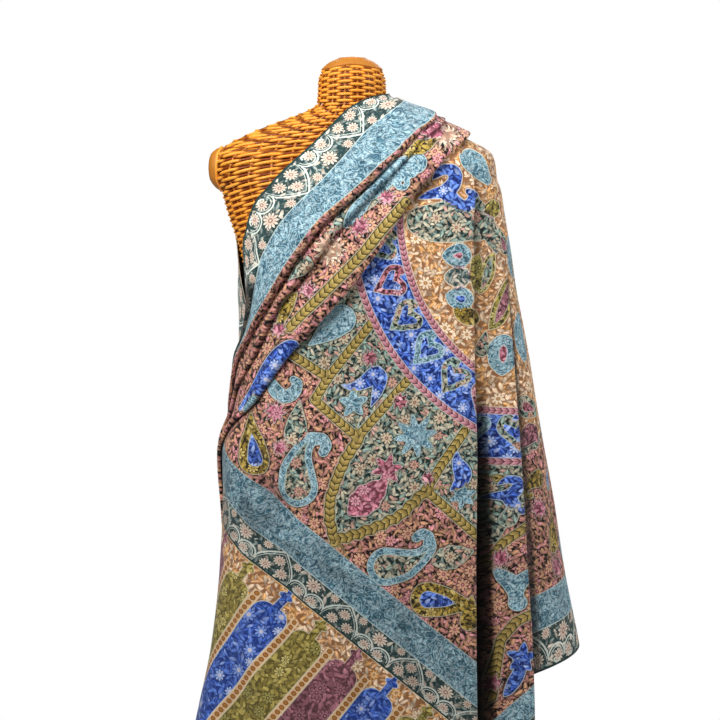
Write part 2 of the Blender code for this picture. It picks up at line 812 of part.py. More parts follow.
def armhole_cap(collection, name, side):
    """Half of a flattened ball, its flat side towards the torso."""
    shape = bmesh.new()
    bmesh.ops.create_uvsphere(shape, u_segments=20, v_segments=10, radius=1.0)
    half = [CAP_BULGE * MM, CAP_HALF_DEPTH * MM, CAP_HALF_HEIGHT * MM]
    bmesh.ops.scale(shape, vec=half, verts=shape.verts)
    cut = bmesh.ops.bisect_plane(
        shape,
        geom=shape.verts[:] + shape.edges[:] + shape.faces[:],
        plane_co=(0, 0, 0),
        plane_no=(side, 0, 0),
        clear_inner=True,
        dist=1e-6,
    )
    edges = [e for e in cut["geom_cut"] if isinstance(e, bmesh.types.BMEdge)]
    bmesh.ops.edgeloop_fill(shape, edges=edges)
    bmesh.ops.recalc_face_normals(shape, faces=shape.faces)
    mesh = bpy.data.meshes.new(name)
    shape.to_mesh(mesh)
    shape.free()
    obj = add(collection, name, mesh, RATTAN)
    widest = max(FORM_RINGS, key=lambda ring: ring.half_width)
    obj.location = ((widest.centre + side * (widest.half_width + 0.4)) * MM, 0.0, CAP_HEIGHT * MM)
    return obj


def cylinder(collection, name, radius, bottom, top, edge, sides, finish, hole=0.0):
    """An upright cylinder with a rounded edge, bored through if it has a hole."""
    height, middle = (top - bottom) * MM, (top + bottom) / 2 * MM
    bpy.ops.mesh.primitive_cylinder_add(
        vertices=sides, radius=radius * MM, depth=height, location=(0, 0, middle)
    )
    obj = bpy.context.object
    obj.name = name
    for holder in list(obj.users_collection):
        holder.objects.unlink(obj)
    collection.objects.link(obj)
    obj.data.materials.append(material(name + "_finish", finish["colour"], finish["roughness"]))
    bevel = obj.modifiers.new("edge", "BEVEL")
    bevel.width = edge * MM
    bevel.segments = 2
    bevel.limit_method = "ANGLE"
    if hole:
        bpy.ops.mesh.primitive_cylinder_add(
            vertices=sides, radius=hole * MM, depth=2 * height, location=(0, 0, middle)
        )
        cutter = bpy.context.object
        cutter.name = name + "_bore"
        cutter.hide_render = True
        cutter.display_type = "WIRE"
        bore = obj.modifiers.new("bore", "BOOLEAN")
        bore.operation = "DIFFERENCE"
        bore.object = cutter
    return obj


def stand(collection):
    cylinder(collection, "stand_base", BASE_RADIUS, 0.0, BASE_HEIGHT, BASE_EDGE, 40, WOOD)
    cylinder(collection, "stand_pole", POLE_RADIUS, POLE_BOTTOM, POLE_TOP, 0.8, 20, WOOD)
    cylinder(
        collection,
        "stand_collar",
        COLLAR_RADIUS,
        BASE_HEIGHT + 0.3,
        BASE_HEIGHT + COLLAR_HEIGHT,
        3.0,
        20,
        WOOD,
        hole=POLE_RADIUS + 0.3,
    )


def main():
    for obj in list(bpy.data.objects):
        bpy.data.objects.remove(obj)
    collection = bpy.data.collections.new("pashmina_shawl")
    bpy.context.scene.collection.children.link(collection)
    torso(collection)
    armhole_cap(collection, "form_cap_left", -1)
    armhole_cap(collection, "form_cap_right", 1)
    stand(collection)
    cloth(collection, "shawl_outer_fall", outer_fall(), LINEN)
    cloth(collection, "shawl_side_pleat", side_pleat(), LINEN)
    cloth(collection, "shawl_front", front_panel(), LINEN)
    cloth(collection, "shawl_back", back_panel(), LINEN)
    cloth(collection, "shawl_pleat_2", strip_grid(1, 5), LINEN)
    cloth(collection, "shawl_pleat_1", strip_grid(2, 4), LINEN)
    cloth(collection, "shawl_top_border", strip_grid(3, 6), TEAL)


main()
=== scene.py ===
"""Looks for a Kashmir-patterned pashmina shawl on a limbless woven dress form.

The drape is worked out from rings and fold lines in millimetres. An angle is measured round the Z
axis from +X, and the front has negative ones. The pattern lies in the cloth's own flat coordinates.
"""

from __future__ import annotations

import logging
import math
from dataclasses import dataclass
from enum import Enum, IntEnum
from typing import Callable, NamedTuple, Sequence

import bpy
import numpy as np
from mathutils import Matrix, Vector


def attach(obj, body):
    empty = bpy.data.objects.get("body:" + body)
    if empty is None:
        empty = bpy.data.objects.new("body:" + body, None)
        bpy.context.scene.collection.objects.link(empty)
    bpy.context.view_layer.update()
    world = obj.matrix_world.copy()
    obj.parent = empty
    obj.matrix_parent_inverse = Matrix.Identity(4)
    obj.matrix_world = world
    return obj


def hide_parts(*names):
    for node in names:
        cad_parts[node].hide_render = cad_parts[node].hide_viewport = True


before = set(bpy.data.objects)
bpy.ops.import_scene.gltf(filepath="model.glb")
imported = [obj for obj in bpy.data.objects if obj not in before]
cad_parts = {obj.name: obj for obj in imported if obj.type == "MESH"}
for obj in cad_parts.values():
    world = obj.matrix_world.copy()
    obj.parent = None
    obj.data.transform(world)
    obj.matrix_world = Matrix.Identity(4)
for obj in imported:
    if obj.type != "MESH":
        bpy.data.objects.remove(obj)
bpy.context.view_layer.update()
LOG = logging.getLogger("shawl")
MM = 0.001
Array = np.ndarray
Curve = Callable[[Array], Array]


# ---------------------------------------------------------------- curves


def smooth_step(t: Array | float) -> Array:
    """0 below 0, 1 above 1, smooth between them."""
    t = np.clip(t, 0.0, 1.0)
    return t * t * (3.0 - 2.0 * t)


def curve_through(xs: Sequence[float], ys: Sequence[float]) -> Curve:
    """A function through the points that doesn't overshoot them.

    Args:
        xs: Places, rising or falling.
        ys: The value at each place.

    Returns:
        A function of an array of places.
    """
    xs, ys = np.asarray(xs, float), np.asarray(ys, float)
    if xs[0] > xs[-1]:
        xs, ys = xs[::-1], ys[::-1]
    step = np.diff(xs)
    slope = np.diff(ys) / step
    tangent = np.zeros(len(xs))
    for i in range(1, len(xs) - 1):
        if slope[i - 1] * slope[i] > 0:
            before, after = 2 * step[i] + step[i - 1], step[i] + 2 * step[i - 1]
            tangent[i] = (before + after) / (before / slope[i - 1] + after / slope[i])
    tangent[0], tangent[-1] = slope[0], slope[-1]

    def value(x: Array) -> Array:
        x = np.asarray(x, float)
        i = np.clip(np.searchsorted(xs, x) - 1, 0, len(step) - 1)
        t = np.clip((x - xs[i]) / step[i], 0.0, 1.0)
        t2, t3 = t * t, t * t * t
        return (
            (2 * t3 - 3 * t2 + 1) * ys[i]
            + (t3 - 2 * t2 + t) * step[i] * tangent[i]
            + (3 * t2 - 2 * t3) * ys[i + 1]
            + (t3 - t2) * step[i] * tangent[i + 1]
        )

    return value


def hump(distance: Array, width: float) -> Array:
    """1 where the distance is nothing, and nearly 0 at twice the width."""
    return np.exp(-((distance / width) ** 2))


# ---------------------------------------------------------------- the form's and the drape's shape


class Ring(NamedTuple):
    """The section of the form or the drape at one height, as a rounded box."""

    height: float
    centre: float
    left: float
    right: float
    front: float
    back: float
    power: float


def form_ring(height: float, centre: float, half: float, front: float, back: float, power: float) -> Ring:
    """A ring that is as wide on the left as on the right."""
    return Ring(height, centre, half, half, front, back, power)


def drape_ring(height: float, left: float, right: float, front: float, back: float, power: float) -> Ring:
    """A ring centred on the neck."""
    return Ring(height, 0.0, left, right, front, back, power)


FORM_RINGS = (
    form_ring(1548, 0, 18, 18, 18, 2.0),
    form_ring(1543, 0, 31, 31, 31, 2.0),
    form_ring(1533, 0, 42, 42, 42, 2.0),
    form_ring(1519, 0, 46.5, 46.5, 46.5, 2.0),
    form_ring(1503, 0, 47, 47, 47, 2.0),
    form_ring(1490, 0, 49, 49, 49, 2.0),
    form_ring(1480, -1, 66, 51, 51, 1.9),
    form_ring(1470, -2, 91, 54, 54, 1.8),
    form_ring(1460, -3, 117, 57, 58, 1.8),
    form_ring(1450, -4, 139, 60, 62, 1.9),
    form_ring(1440, -5, 158, 65, 67, 2.0),
    form_ring(1431, -6, 170, 69, 72, 2.1),
    form_ring(1420, -6, 177, 74, 78, 2.8),
    form_ring(1405, -6, 178, 82, 87, 3.0),
    form_ring(1390, -6, 177, 90, 93, 2.9),
    form_ring(1373, -5, 171, 97, 98, 2.6),
    form_ring(1342, -4, 163, 107, 103, 2.35),
    form_ring(1295, -2, 149.5, 120, 106, 2.3),
    form_ring(1230, 0, 137, 114, 100, 2.2),
    form_ring(1180, 0, 129, 100, 94, 2.2),
    form_ring(1120, 0, 124, 92, 88, 2.2),
    form_ring(1060, 0, 132, 98, 96, 2.2),
    form_ring(1000, 0, 148, 106, 110, 2.2),
    form_ring(950, 0, 157, 108, 116, 2.2),
    form_ring(900, 0, 158, 106, 114, 2.2),
    form_ring(868, 0, 152, 100, 108, 2.2),
)
DRAPE_RINGS = (
    drape_ring(1512, 48.6, 48.6, 48.6, 48.6, 2.0),
    drape_ring(1500, 48.8, 48.8, 48.8, 48.8, 2.0),
    drape_ring(1490, 51, 51, 51, 51, 2.0),
    drape_ring(1480, 69, 67, 53.5, 53.5, 1.9),
    drape_ring(1470, 95, 91, 57, 57, 1.8),
    drape_ring(1460, 122, 116, 60, 61, 1.8),
    drape_ring(1450, 145, 137, 63.5, 65.5, 1.9),
    drape_ring(1440, 166, 156, 69, 71, 2.0),
    drape_ring(1431, 179, 174, 73.5, 76.5, 2.1),
    drape_ring(1420, 189, 187, 79, 83, 2.7),
    drape_ring(1405, 192, 191, 87, 92, 2.9),
    drape_ring(1390, 187, 192.5, 95, 98, 2.8),
    drape_ring(1373, 179, 198, 102, 103, 2.55),
    drape_ring(1342, 169, 203, 113, 109, 2.35),
    drape_ring(1295, 153, 211, 125, 112, 2.3),
    drape_ring(1240, 148, 219, 127, 111, 2.3),
    drape_ring(1200, 143, 227, 126, 110, 2.3),
    drape_ring(1136, 140, 239, 127, 112, 2.3),
    drape_ring(1080, 145, 248, 131, 118, 2.3),
    drape_ring(1026, 163, 257, 137, 126, 2.25),
    drape_ring(961, 162, 268, 142, 133, 2.2),
    drape_ring(870, 165, 281, 147, 138, 2.2),
    drape_ring(768, 175, 300, 153, 144, 2.2),
    drape_ring(668, 195, 314, 160, 150, 2.2),
    drape_ring(500, 226, 330, 168, 156, 2.2),
    drape_ring(340, 238, 336, 172, 160, 2.2),
)


class Surface:
    """A closed surface through rings."""

    def __init__(self, rings: Sequence[Ring]) -> None:
        """Makes the curves through the rings.

        Args:
            rings: The sections, from the top down.
        """
        heights = [ring.height for ring in rings]
        self.size = {
            name: curve_through(heights, [getattr(ring, name) for ring in rings]) for name in Ring._fields[1:]
        }

    def at(self, angle: Array, height: Array) -> Array:
        """The surface's points at these angles (radians) and heights."""
        angle, height = np.broadcast_arrays(np.asarray(angle, float), np.asarray(height, float))
        cos, sin = np.cos(angle), np.sin(angle)
        across = np.where(cos >= 0, self.size["right"](height), self.size["left"](height))
        deep = np.where(sin >= 0, self.size["back"](height), self.size["front"](height))
        power = self.size["power"](height)
        reach = (np.abs(cos / across) ** power + np.abs(sin / deep) ** power) ** (-1.0 / power)
        return np.stack([reach * cos + self.size["centre"](height), reach * sin, height + 0.0], axis=-1)

    def outwards(self, angle: Array, height: Array) -> Array:
        """The outward unit normals."""
        da, dh = 0.004, 1.5
        round_it = self.at(angle + da, height) - self.at(angle - da, height)
        up_it = self.at(angle, height + dh) - self.at(angle, height - dh)
        normal = np.cross(round_it, up_it)
        return normal / np.linalg.norm(normal, axis=-1, keepdims=True)

    def raised(self, angle: Array, height: Array, offset: Array) -> Array:
        """The points this far out from the surface."""
        return self.at(angle, height) + self.outwards(angle, height) * np.asarray(offset)[..., None]

    def front_angle(self, x: float, height: float) -> float:
        """The (negative) angle at which the front has this x."""
        across = self.size["right"](height) if x >= 0 else self.size["left"](height)
        share = min(abs(x) / float(across), 0.9999)
        power = float(self.size["power"](height))
        y = -float(self.size["front"](height)) * (1.0 - share**power) ** (1.0 / power)
        return math.atan2(y, x)


DRAPE = Surface(DRAPE_RINGS)
FORM = Surface(FORM_RINGS)


class ArcTable:
    """How far round the drape a point lies, measured along the cloth from the front's middle."""

    def __init__(self, surface: Surface) -> None:
        """Adds up the steps round the surface, at each height.

        Args:
            surface: The drape.
        """
        self.angles = np.radians(np.linspace(-235.0, 235.0, 941))
        self.heights = np.linspace(300.0, 1515.0, 122)
        a, h = np.meshgrid(self.angles, self.heights, indexing="ij")
        points = surface.at(a, h)
        steps = np.diff(points, axis=0)
        true = np.linalg.norm(steps, axis=-1)
        middle = 0.5 * (points[1:] + points[:-1])
        half = np.where(middle[..., 0] > 0, surface.size["right"](h[1:]), surface.size["left"](h[1:]))
        edge = smooth_step((np.abs(middle[..., 0]) / half - 0.80) / 0.16)
        seen = np.abs(steps[..., 0])
        run = np.concatenate([np.zeros((1, h.shape[1])), np.cumsum(seen + (true - seen) * edge, axis=0)])
        start = np.argmin(np.abs(self.angles + math.pi / 2))
        self.table = run - run[start]

    def at(self, angle: Array, height: Array) -> Array:
        """The distance along the cloth at these angles and heights."""
        i = (np.asarray(angle) - self.angles[0]) / (self.angles[1] - self.angles[0])
        j = (np.asarray(height) - self.heights[0]) / (self.heights[1] - self.heights[0])
        i = np.clip(i, 0, len(self.angles) - 1.001)
        j = np.clip(j, 0, len(self.heights) - 1.001)
        i0, j0 = i.astype(int), j.astype(int)
        p, q = i - i0, j - j0
        t = self.table
        low = t[i0, j0] * (1 - p) + t[i0 + 1, j0] * p
        high = t[i0, j0 + 1] * (1 - p) + t[i0 + 1, j0 + 1] * p
        return low * (1 - q) + high * q


ARC = ArcTable(DRAPE)


# ---------------------------------------------------------------- the folds


class FoldPoint(NamedTuple):
    """A point of a fold in front, where the cloth is seen at this x."""

    x: float
    height: float


class TailPoint(NamedTuple):
    """A point of a fold round the side, at an angle in degrees."""

    angle: float
    height: float


class Fold(NamedTuple):
    """An edge or fold from the shoulder's ridge down to the left side, in front and mirrored behind."""

    ridge: float
    front: tuple[FoldPoint, ...]
    tail: tuple[TailPoint, ...]
    mirrored: int
    back_end: tuple[TailPoint, ...]


def front_points(*pairs: tuple[float, float]) -> tuple[FoldPoint, ...]:
    """A fold's points in front."""
    return tuple(FoldPoint(*pair) for pair in pairs)


def tail_points(*pairs: tuple[float, float]) -> tuple[TailPoint, ...]:
    """A fold's points round the side."""
    return tuple(TailPoint(*pair) for pair in pairs)


TOP_EDGE = Fold(
    1503,
    front_points(
        (34, 1500), (-2, 1484), (-37, 1450), (-73, 1415.7), (-109, 1379.8), (-129, 1355.8), (-139, 1323),
        (-141, 1294.6), (-136, 1227), (-134, 1185),
    ),
    tail_points((-176, 1140), (-196, 1095), (-213, 1040), (-223, 970), (-226, 880), (-227, 645)),
    5,
    tail_points((-163, 1332), (-177, 1292), (-188, 1262), (-196, 1228), (-200, 1185), (-202, 1135)),
)
FOLD_A = Fold(
    1465,
    front_points(
        (87, 1444), (63.8, 1421), (33.9, 1394.4), (-1.3, 1362.5), (-37.2, 1331.9), (-63.8, 1298.6),
        (-77.1, 1278.7), (-101, 1236), (-123, 1192), (-133, 1160),
    ),
    tail_points((-173, 1115), (-190, 1070), (-204, 1010), (-212, 940), (-215, 860), (-216, 620)),
    10,
    tail_points((-184, 1124), (-194, 1100)),
)
FOLD_A2 = Fold(
    1459,
    front_points(
        (95.8, 1438), (71.8, 1413), (42.6, 1385), (8, 1350), (-28, 1311), (-44, 1288), (-70, 1255),
        (-94, 1222), (-117, 1172), (-130, 1137),
    ),
    tail_points((-170, 1092), (-185, 1045), (-197, 985), (-204, 915), (-207, 850), (-208, 600)),
    10,
    tail_points((-183, 1106), (-192, 1082)),
)
FOLD_B = Fold(
    1442,
    front_points(
        (126.4, 1418.3), (108.5, 1399.7), (87.1, 1380), (69.2, 1357), (54.5, 1332.5), (29.3, 1294.6),
        (2.7, 1257.4), (-63.2, 1180.9), (-91.8, 1146), (-119, 1104),
    ),
    tail_points((-163, 1063), (-177, 1022), (-189, 965), (-196, 900), (-199, 850), (-200, 578)),
    10,
    tail_points((-182, 1038), (-190, 1015)),
)

WALL = 1.1
LOOSE_GAP, SHOULDER_GAP = 1.9, 1.1
SIDE_LIFT = 9.5
HIDDEN = 22.0
UNDER_SHOULDER = 6.4
CURL_TURN = math.radians(118)
CURL_RADIUS = 5.5


def near_shoulder(angle: Array, height: Array) -> Array:
    """1 on the shoulder's end, 0 away from it and below it."""
    beside = 1.0 - smooth_step((np.abs(angle) - math.radians(34)) / math.radians(26))
    return beside * smooth_step((height - 1375.0) / 35.0)


def layer_pitch(angle: Array, height: Array) -> Array:
    """How far apart layers of cloth lie."""
    return WALL + LOOSE_GAP + (SHOULDER_GAP - LOOSE_GAP) * near_shoulder(angle, height)


def layer_floor(layer: int, angle: Array, height: Array) -> Array:
    """How far out the layers of cloth under this one reach."""
    return layer * layer_pitch(angle, height) + UNDER_SHOULDER * near_shoulder(angle, height)


def side_lift(angle: Array, height: Array) -> Array:
    """How far the front layers stand out to pass over the back ones."""
    turned = smooth_step((math.radians(-148) - angle) / math.radians(18))
    return SIDE_LIFT * turned * (0.75 + 0.25 * smooth_step((1210.0 - height) / 60.0))


def curl_radius(relief: Array | float) -> Array:
    """A fold's edge stays clear of what lies under it."""
    return np.minimum((np.asarray(relief) - 0.5) / (1.0 - math.cos(CURL_TURN)), CURL_RADIUS)


class FoldLines:
    """The four fold lines as functions of f: -1 at the front's hem, 0 on the ridge, 1 behind."""

    def __init__(self, surface: Surface, folds: Sequence[Fold]) -> None:
        """Lays the lines on the surface.

        Args:
            surface: The drape.
            folds: From the top edge down.
        """
        self.surface = surface
        self.lines = [self._line(fold) for fold in folds]

    def _line(self, fold: Fold) -> tuple[Curve, Curve]:
        """Angle and height along one fold."""
        front = [(self.surface.front_angle(p.x, p.height), p.height) for p in fold.front]
        tail = [(math.radians(p.angle), p.height) for p in fold.tail]
        end = [(-math.radians(p.angle), p.height) for p in fold.back_end]
        ahead = [(0.0, fold.ridge)] + front + tail
        behind = [(0.0, fold.ridge)] + [(-a, h) for a, h in front[: fold.mirrored]] + end

        def shares(points: list[tuple[float, float]]) -> Array:
            places = self.surface.at([a for a, _ in points], [h for _, h in points])
            run = np.concatenate([[0.0], np.cumsum(np.linalg.norm(np.diff(places, axis=0), axis=1))])
            return run / run[-1]

        along = np.concatenate([-shares(ahead)[::-1], shares(behind)[1:]])
        points = ahead[::-1] + behind[1:]
        return curve_through(along, [p[0] for p in points]), curve_through(along, [p[1] for p in points])

    def across(self, f: float) -> tuple[Array, Array, Array]:
        """Angles, heights and distances of the lines at f, from the top edge on."""
        angles = np.array([line[0](f) for line in self.lines])
        heights = np.array([line[1](f) for line in self.lines])
        steps = np.linalg.norm(np.diff(self.surface.at(angles, heights), axis=0), axis=1)
        return angles, heights, np.concatenate([[0.0], np.cumsum(steps)])

    @staticmethod
    def place(lines: tuple[Array, Array, Array], distance: Array) -> tuple[Array, Array]:
        """Angles and heights at distances from the top edge, carried on past the last fold."""
        angles, heights, at = lines
        rate = np.maximum(0.0, distance - at[-1]) / (at[-1] - at[-2])
        angle = np.interp(distance, at, angles) + rate * (angles[-1] - angles[-2])
        height = np.interp(distance, at, heights) + rate * (heights[-1] - heights[-2])
        return angle, height


FOLDS = FoldLines(DRAPE, (TOP_EDGE, FOLD_A, FOLD_A2, FOLD_B))


# ---------------------------------------------------------------- the textile's pattern


class Dye(IntEnum):
    """The grounds of the pattern, each with its own colours."""

    FIELD = 0
    GREEN = 1
    TEAL = 2
    GOLD = 3
    BLUE = 4
    PINK = 5
    OCHRE = 6
    BORDER = 7
    PLUM = 8
    OLIVE = 9
    ROSE = 10
    IVORY = 11


@dataclass(frozen=True)
class Palette:
    """One ground's colours, as hexadecimal sRGB."""

    ground: str
    leaf: str
    second_leaf: str
    petal: str
    second_petal: str
    centre: str
    line: str


PALETTES = {
    Dye.FIELD: Palette("150b09", "c58a82", "ca9c7a", "e29bac", "deae92", "7a3a30", "b3ae9e"),
    Dye.GREEN: Palette("1b2b2a", "bab6a2", "86a59d", "cf9488", "cdbba2", "74503f", "a9b8ad"),
    Dye.TEAL: Palette("1b3945", "8cb8c8", "558396", "d2e8ee", "8fb9c4", "3c6170", "b4d2da"),
    Dye.GOLD: Palette("2b2309", "bda351", "8d7531", "dcc681", "a58d3c", "4f3f12", "b4ad87"),
    Dye.BLUE: Palette("132a70", "6c90de", "2f5cba", "b9cbf2", "86a2e4", "e6d6c6", "b4c4e2"),
    Dye.PINK: Palette("4a2029", "cb8592", "a8636f", "f0c0c8", "c98592", "5c2832", "d3bab5"),
    Dye.OCHRE: Palette("a0704c", "e8ceb2", "d39e68", "e9ae58", "f0dcc0", "93602f", "e6d6b8"),
    Dye.BORDER: Palette("2a494b", "c0beb0", "7f9a97", "eaddcc", "dfbfae", "9c7463", "dfe6dd"),
    Dye.PLUM: Palette("503039", "c98a96", "94606b", "dda0ab", "a8727d", "3d232b", "b59f9a"),
    Dye.OLIVE: Palette("4a431c", "cdbc6c", "9c8b42", "e0d08a", "a49a57", "403c1c", "bdb892"),
    Dye.ROSE: Palette("7d3f4e", "d996a6", "b9697e", "ecb6c1", "d595a3", "6c3040", "d6bcb8"),
    Dye.IVORY: Palette("b98f78", "ecd9bd", "dfb8a4", "f2e6d0", "e6c3b0", "9c6f55", "eee2cc"),
}


class Shape(Enum):
    """The motifs' outlines: strokes of circles, each x, z and radius, in half widths. They point up."""

    DROP = (((0, 0, 1), (0, 0.8, 0.86), (0.02, 1.5, 0.6), (0.06, 2.2, 0.33), (0.12, 2.9, 0.05)),)
    POD = (((0, -0.5, 0.7), (0, 0, 0.98), (0, 0.5, 0.94), (0, 1.0, 0.66), (0, 1.5, 0.3)),)
    PAISLEY = (
        (
            (0, 0, 1), (-0.04, 0.75, 0.86), (0.08, 1.45, 0.6), (0.34, 2.05, 0.42), (0.74, 2.45, 0.33),
            (1.16, 2.45, 0.29), (1.42, 2.12, 0.27), (1.28, 1.78, 0.24),
        ),
    )
    BUD = (((0, 0, 1), (0, 0.5, 0.82), (0, 1.0, 0.45), (0, 1.3, 0.2)),)
    HOOK = (
        (
            (-1.75, 3, 0.1), (-1.25, 1.5, 0.5), (-0.5, 0.1, 0.85), (0.6, -0.5, 0.85), (1.75, 0.1, 0.75),
            (2.1, 1.1, 0.6), (1.6, 1.6, 0.45),
        ),
    )
    WING = (
        ((-4, -0.5, 0.05), (-2.6, -0.8, 0.42), (-1.2, -0.4, 0.75), (0.1, 0.5, 1), (0.8, 1.3, 0.5)),
        ((0.8, 1.3, 0.5), (1.1, 0.3, 0.85), (0.7, -1.4, 0.65), (-0.1, -3.3, 0.08)),
    )
    HEART = (
        ((0, 1.8, 0.04), (0, 1.15, 0.4), (-0.1, 0.45, 0.8), (-0.3, -0.05, 0.85), (-0.7, -0.4, 0.72)),
        ((0.1, 0.3, 0.8), (0.5, -0.2, 0.78), (0.8, -0.6, 0.6), (0.75, -1.15, 0.35), (0.35, -1.3, 0.22)),
    )
    SCROLL = (
        (
            (-2.95, 1.7, 0.12), (-2.0, 2.6, 0.6), (-1.0, 3.2, 0.85), (0.25, 3.1, 0.95), (0.9, 2.2, 1.1),
            (0.5, 0.75, 1.25), (-0.6, -0.4, 1.3), (-0.1, -1.2, 1.25), (0.9, -2.3, 1.2), (2.3, -3.0, 1.1),
            (3.5, -2.15, 0.9), (3.75, -1.0, 0.75), (2.95, -0.4, 0.5),
        ),
        ((-1.6, -0.5, 1.05), (-3.7, -0.9, 0.65), (-5.4, -1.45, 0.1)),
    )
    GOURD = (
        (
            (-0.1, -1.0, 0.75), (0, -0.5, 0.92), (0, 0, 1), (0.12, 0.6, 0.88), (0.27, 1.2, 0.68),
            (0.38, 1.75, 0.5),
        ),
    )
    CREST = (
        ((-1.3, 1.2, 0.2), (-0.8, 0.7, 0.5), (-0.2, 0.1, 0.6), (0, -0.7, 0.42), (0.2, -1.4, 0.62)),
        ((1.4, 1.1, 0.2), (0.8, 0.6, 0.5), (0.2, 0, 0.55), (0.1, -0.7, 0.42)),
    )
    FEATHER = (((0, -3.2, 0.1), (0.2, -2, 0.7), (0.1, 0, 1), (-0.1, 2, 0.72), (0.1, 3.2, 0.08)),)
    PLUME = (
        (
            (0.1, -4.2, 0.25), (0.15, -2.4, 0.52), (0, 0, 0.82), (-0.1, 1.8, 1), (-0.1, 3.2, 0.7),
            (0, 3.9, 0.2),
        ),
    )
    HORN = (((-2.2, 0.6, 0.08), (-1.2, 0.1, 0.55), (0, 0, 0.9), (0.7, -0.8, 0.6), (0.9, -2.0, 0.06)),)
    LEAF = "saw"
    STAR = "star"


class Motif(NamedTuple):
    """One motif: the middle of its body, its half width, all in mm, its turn in degrees, and its dyes."""

    shape: Shape
    x: float
    z: float
    half: float
    turn: float
    rim: Dye
    core: Dye
    rim_width: float = 60.0
    hand: int = 1
    points: int = 8

    def reach(self) -> float:
        """How far from its middle the motif can extend."""
        return 7.2 * self.half + 14.0

    def distance(self, x: Array, z: Array) -> Array:
        """Signed distances of points to the outline, negative inside."""
        turn = math.radians(self.turn)
        dx, dz = x - self.x, z - self.z
        across = self.hand * (dx * math.cos(turn) + dz * math.sin(turn)) / self.half
        up = (dz * math.cos(turn) - dx * math.sin(turn)) / self.half
        if self.shape is Shape.STAR:
            share = (np.arctan2(up, across) * self.points / (2 * math.pi) + 20.0) % 1.0
            tip = np.abs(2.0 * share - 1.0) ** 1.3
            return (np.hypot(across, up) - 0.42 - 0.58 * tip) * self.half * 0.72
        if self.shape is Shape.LEAF:
            height = np.clip((up + 1.7) / 3.4, 0.0, 1.0)
            saw = 0.82 + 0.32 * np.abs(((height * 4.0) % 1.0) - 0.5)
            side = np.sin(math.pi * height**0.8) ** 0.9 * saw
            ends = np.maximum(np.abs(up) - 1.7, 0.0)
            return np.where(ends > 0, np.hypot(across, ends), (np.abs(across) - side) * 0.8) * self.half
        best = np.full(x.shape, 50.0)
        for stroke in self.shape.value:
            places = np.arange(len(stroke))
            shares = np.linspace(0, len(stroke) - 1, 6 * len(stroke))
            cx, cz, radius = (curve_through(places, column)(shares) for column in zip(*stroke))
            for a, b, r in zip(cx, cz, radius):
                best = np.minimum(best, np.hypot(across - a, up - b) - r)
        return best * self.half


class Band(NamedTuple):
    """A chain-stitched band of the lattice: its corners, its width, and the depth of its scallops."""

    corners: tuple[tuple[float, float], ...]
    width: float
    scallop: float = 0.0


M, S, D = Motif, Shape, Dye
FRONT_MOTIFS = (
    M(S.DROP, -14, 1201, 19, 131, D.TEAL, D.TEAL),
    M(S.WING, 26, 1120, 10.6, 0, D.BLUE, D.BLUE),
    M(S.STAR, 2, 1090, 21, 20, D.TEAL, D.TEAL, points=5),
    M(S.HOOK, -94, 1104, 10.6, 0, D.TEAL, D.TEAL),
    M(S.STAR, -101, 1078, 17, 40, D.ROSE, D.ROSE, points=8),
    M(S.STAR, -94, 1031, 13, 0, D.ROSE, D.ROSE, points=12),
    M(S.DROP, -74, 1050, 15, 355, D.GREEN, D.GREEN),
    M(S.DROP, -130, 1016, 21, 8, D.GOLD, D.BLUE, 11),
    M(S.PAISLEY, -71, 979, 26, 0, D.TEAL, D.GREEN, 8.5),
    M(S.PAISLEY, 45, 874, 25, 278, D.TEAL, D.GREEN, 8.5, -1),
    M(S.LEAF, 133, 886, 17, 285, D.GREEN, D.GREEN),
    M(S.DROP, 100, 830, 23, 262, D.GOLD, D.BLUE, 12),
    M(S.LEAF, 22, 966, 21, 312, D.ROSE, D.ROSE),
    M(S.STAR, 46, 1002, 23, 12, D.ROSE, D.ROSE, points=6),
    M(S.STAR, 84, 1046, 31, 8, D.TEAL, D.BLUE, 17, points=8),
    M(S.HORN, 146, 996, 13, 300, D.BLUE, D.BLUE),
    M(S.STAR, 146, 966, 19, 20, D.TEAL, D.TEAL, points=6),
    M(S.DROP, 154, 800, 12, 355, D.GOLD, D.GOLD),
    M(S.DROP, -150, 970, 11, 210, D.GREEN, D.GREEN),
    M(S.POD, -108, 1166, 9, 215, D.TEAL, D.TEAL),
    M(S.STAR, 24, 1150, 14, 0, D.PINK, D.PINK, points=10),
    M(S.STAR, 64, 1092, 14, 0, D.PINK, D.PINK, points=8),
    M(S.STAR, 100, 990, 12, 0, D.PINK, D.PINK, points=10),
    M(S.GOURD, 163, 1405, 14, 233, D.TEAL, D.TEAL),
    M(S.SCROLL, 130, 1372, 8, 0, D.BLUE, D.BLUE),
    M(S.GOURD, 119, 1328, 26.6, 270, D.GREEN, D.GREEN),
    M(S.BUD, 142, 1284, 15.5, 90, D.TEAL, D.ROSE, 11),
    M(S.BUD, 142, 1256, 14, 90, D.BORDER, D.BORDER),
    M(S.BUD, 145, 1227, 15, 76, D.TEAL, D.BLUE, 10),
    M(S.POD, 153, 1204, 12, 60, D.GOLD, D.GOLD),
    M(S.FEATHER, 163, 1262, 8, 356, D.OLIVE, D.OLIVE),
    M(S.POD, 60, 648, 20, 320, D.TEAL, D.GREEN, 8),
    M(S.PAISLEY, 130, 700, 22, 300, D.TEAL, D.GREEN, 8),
)
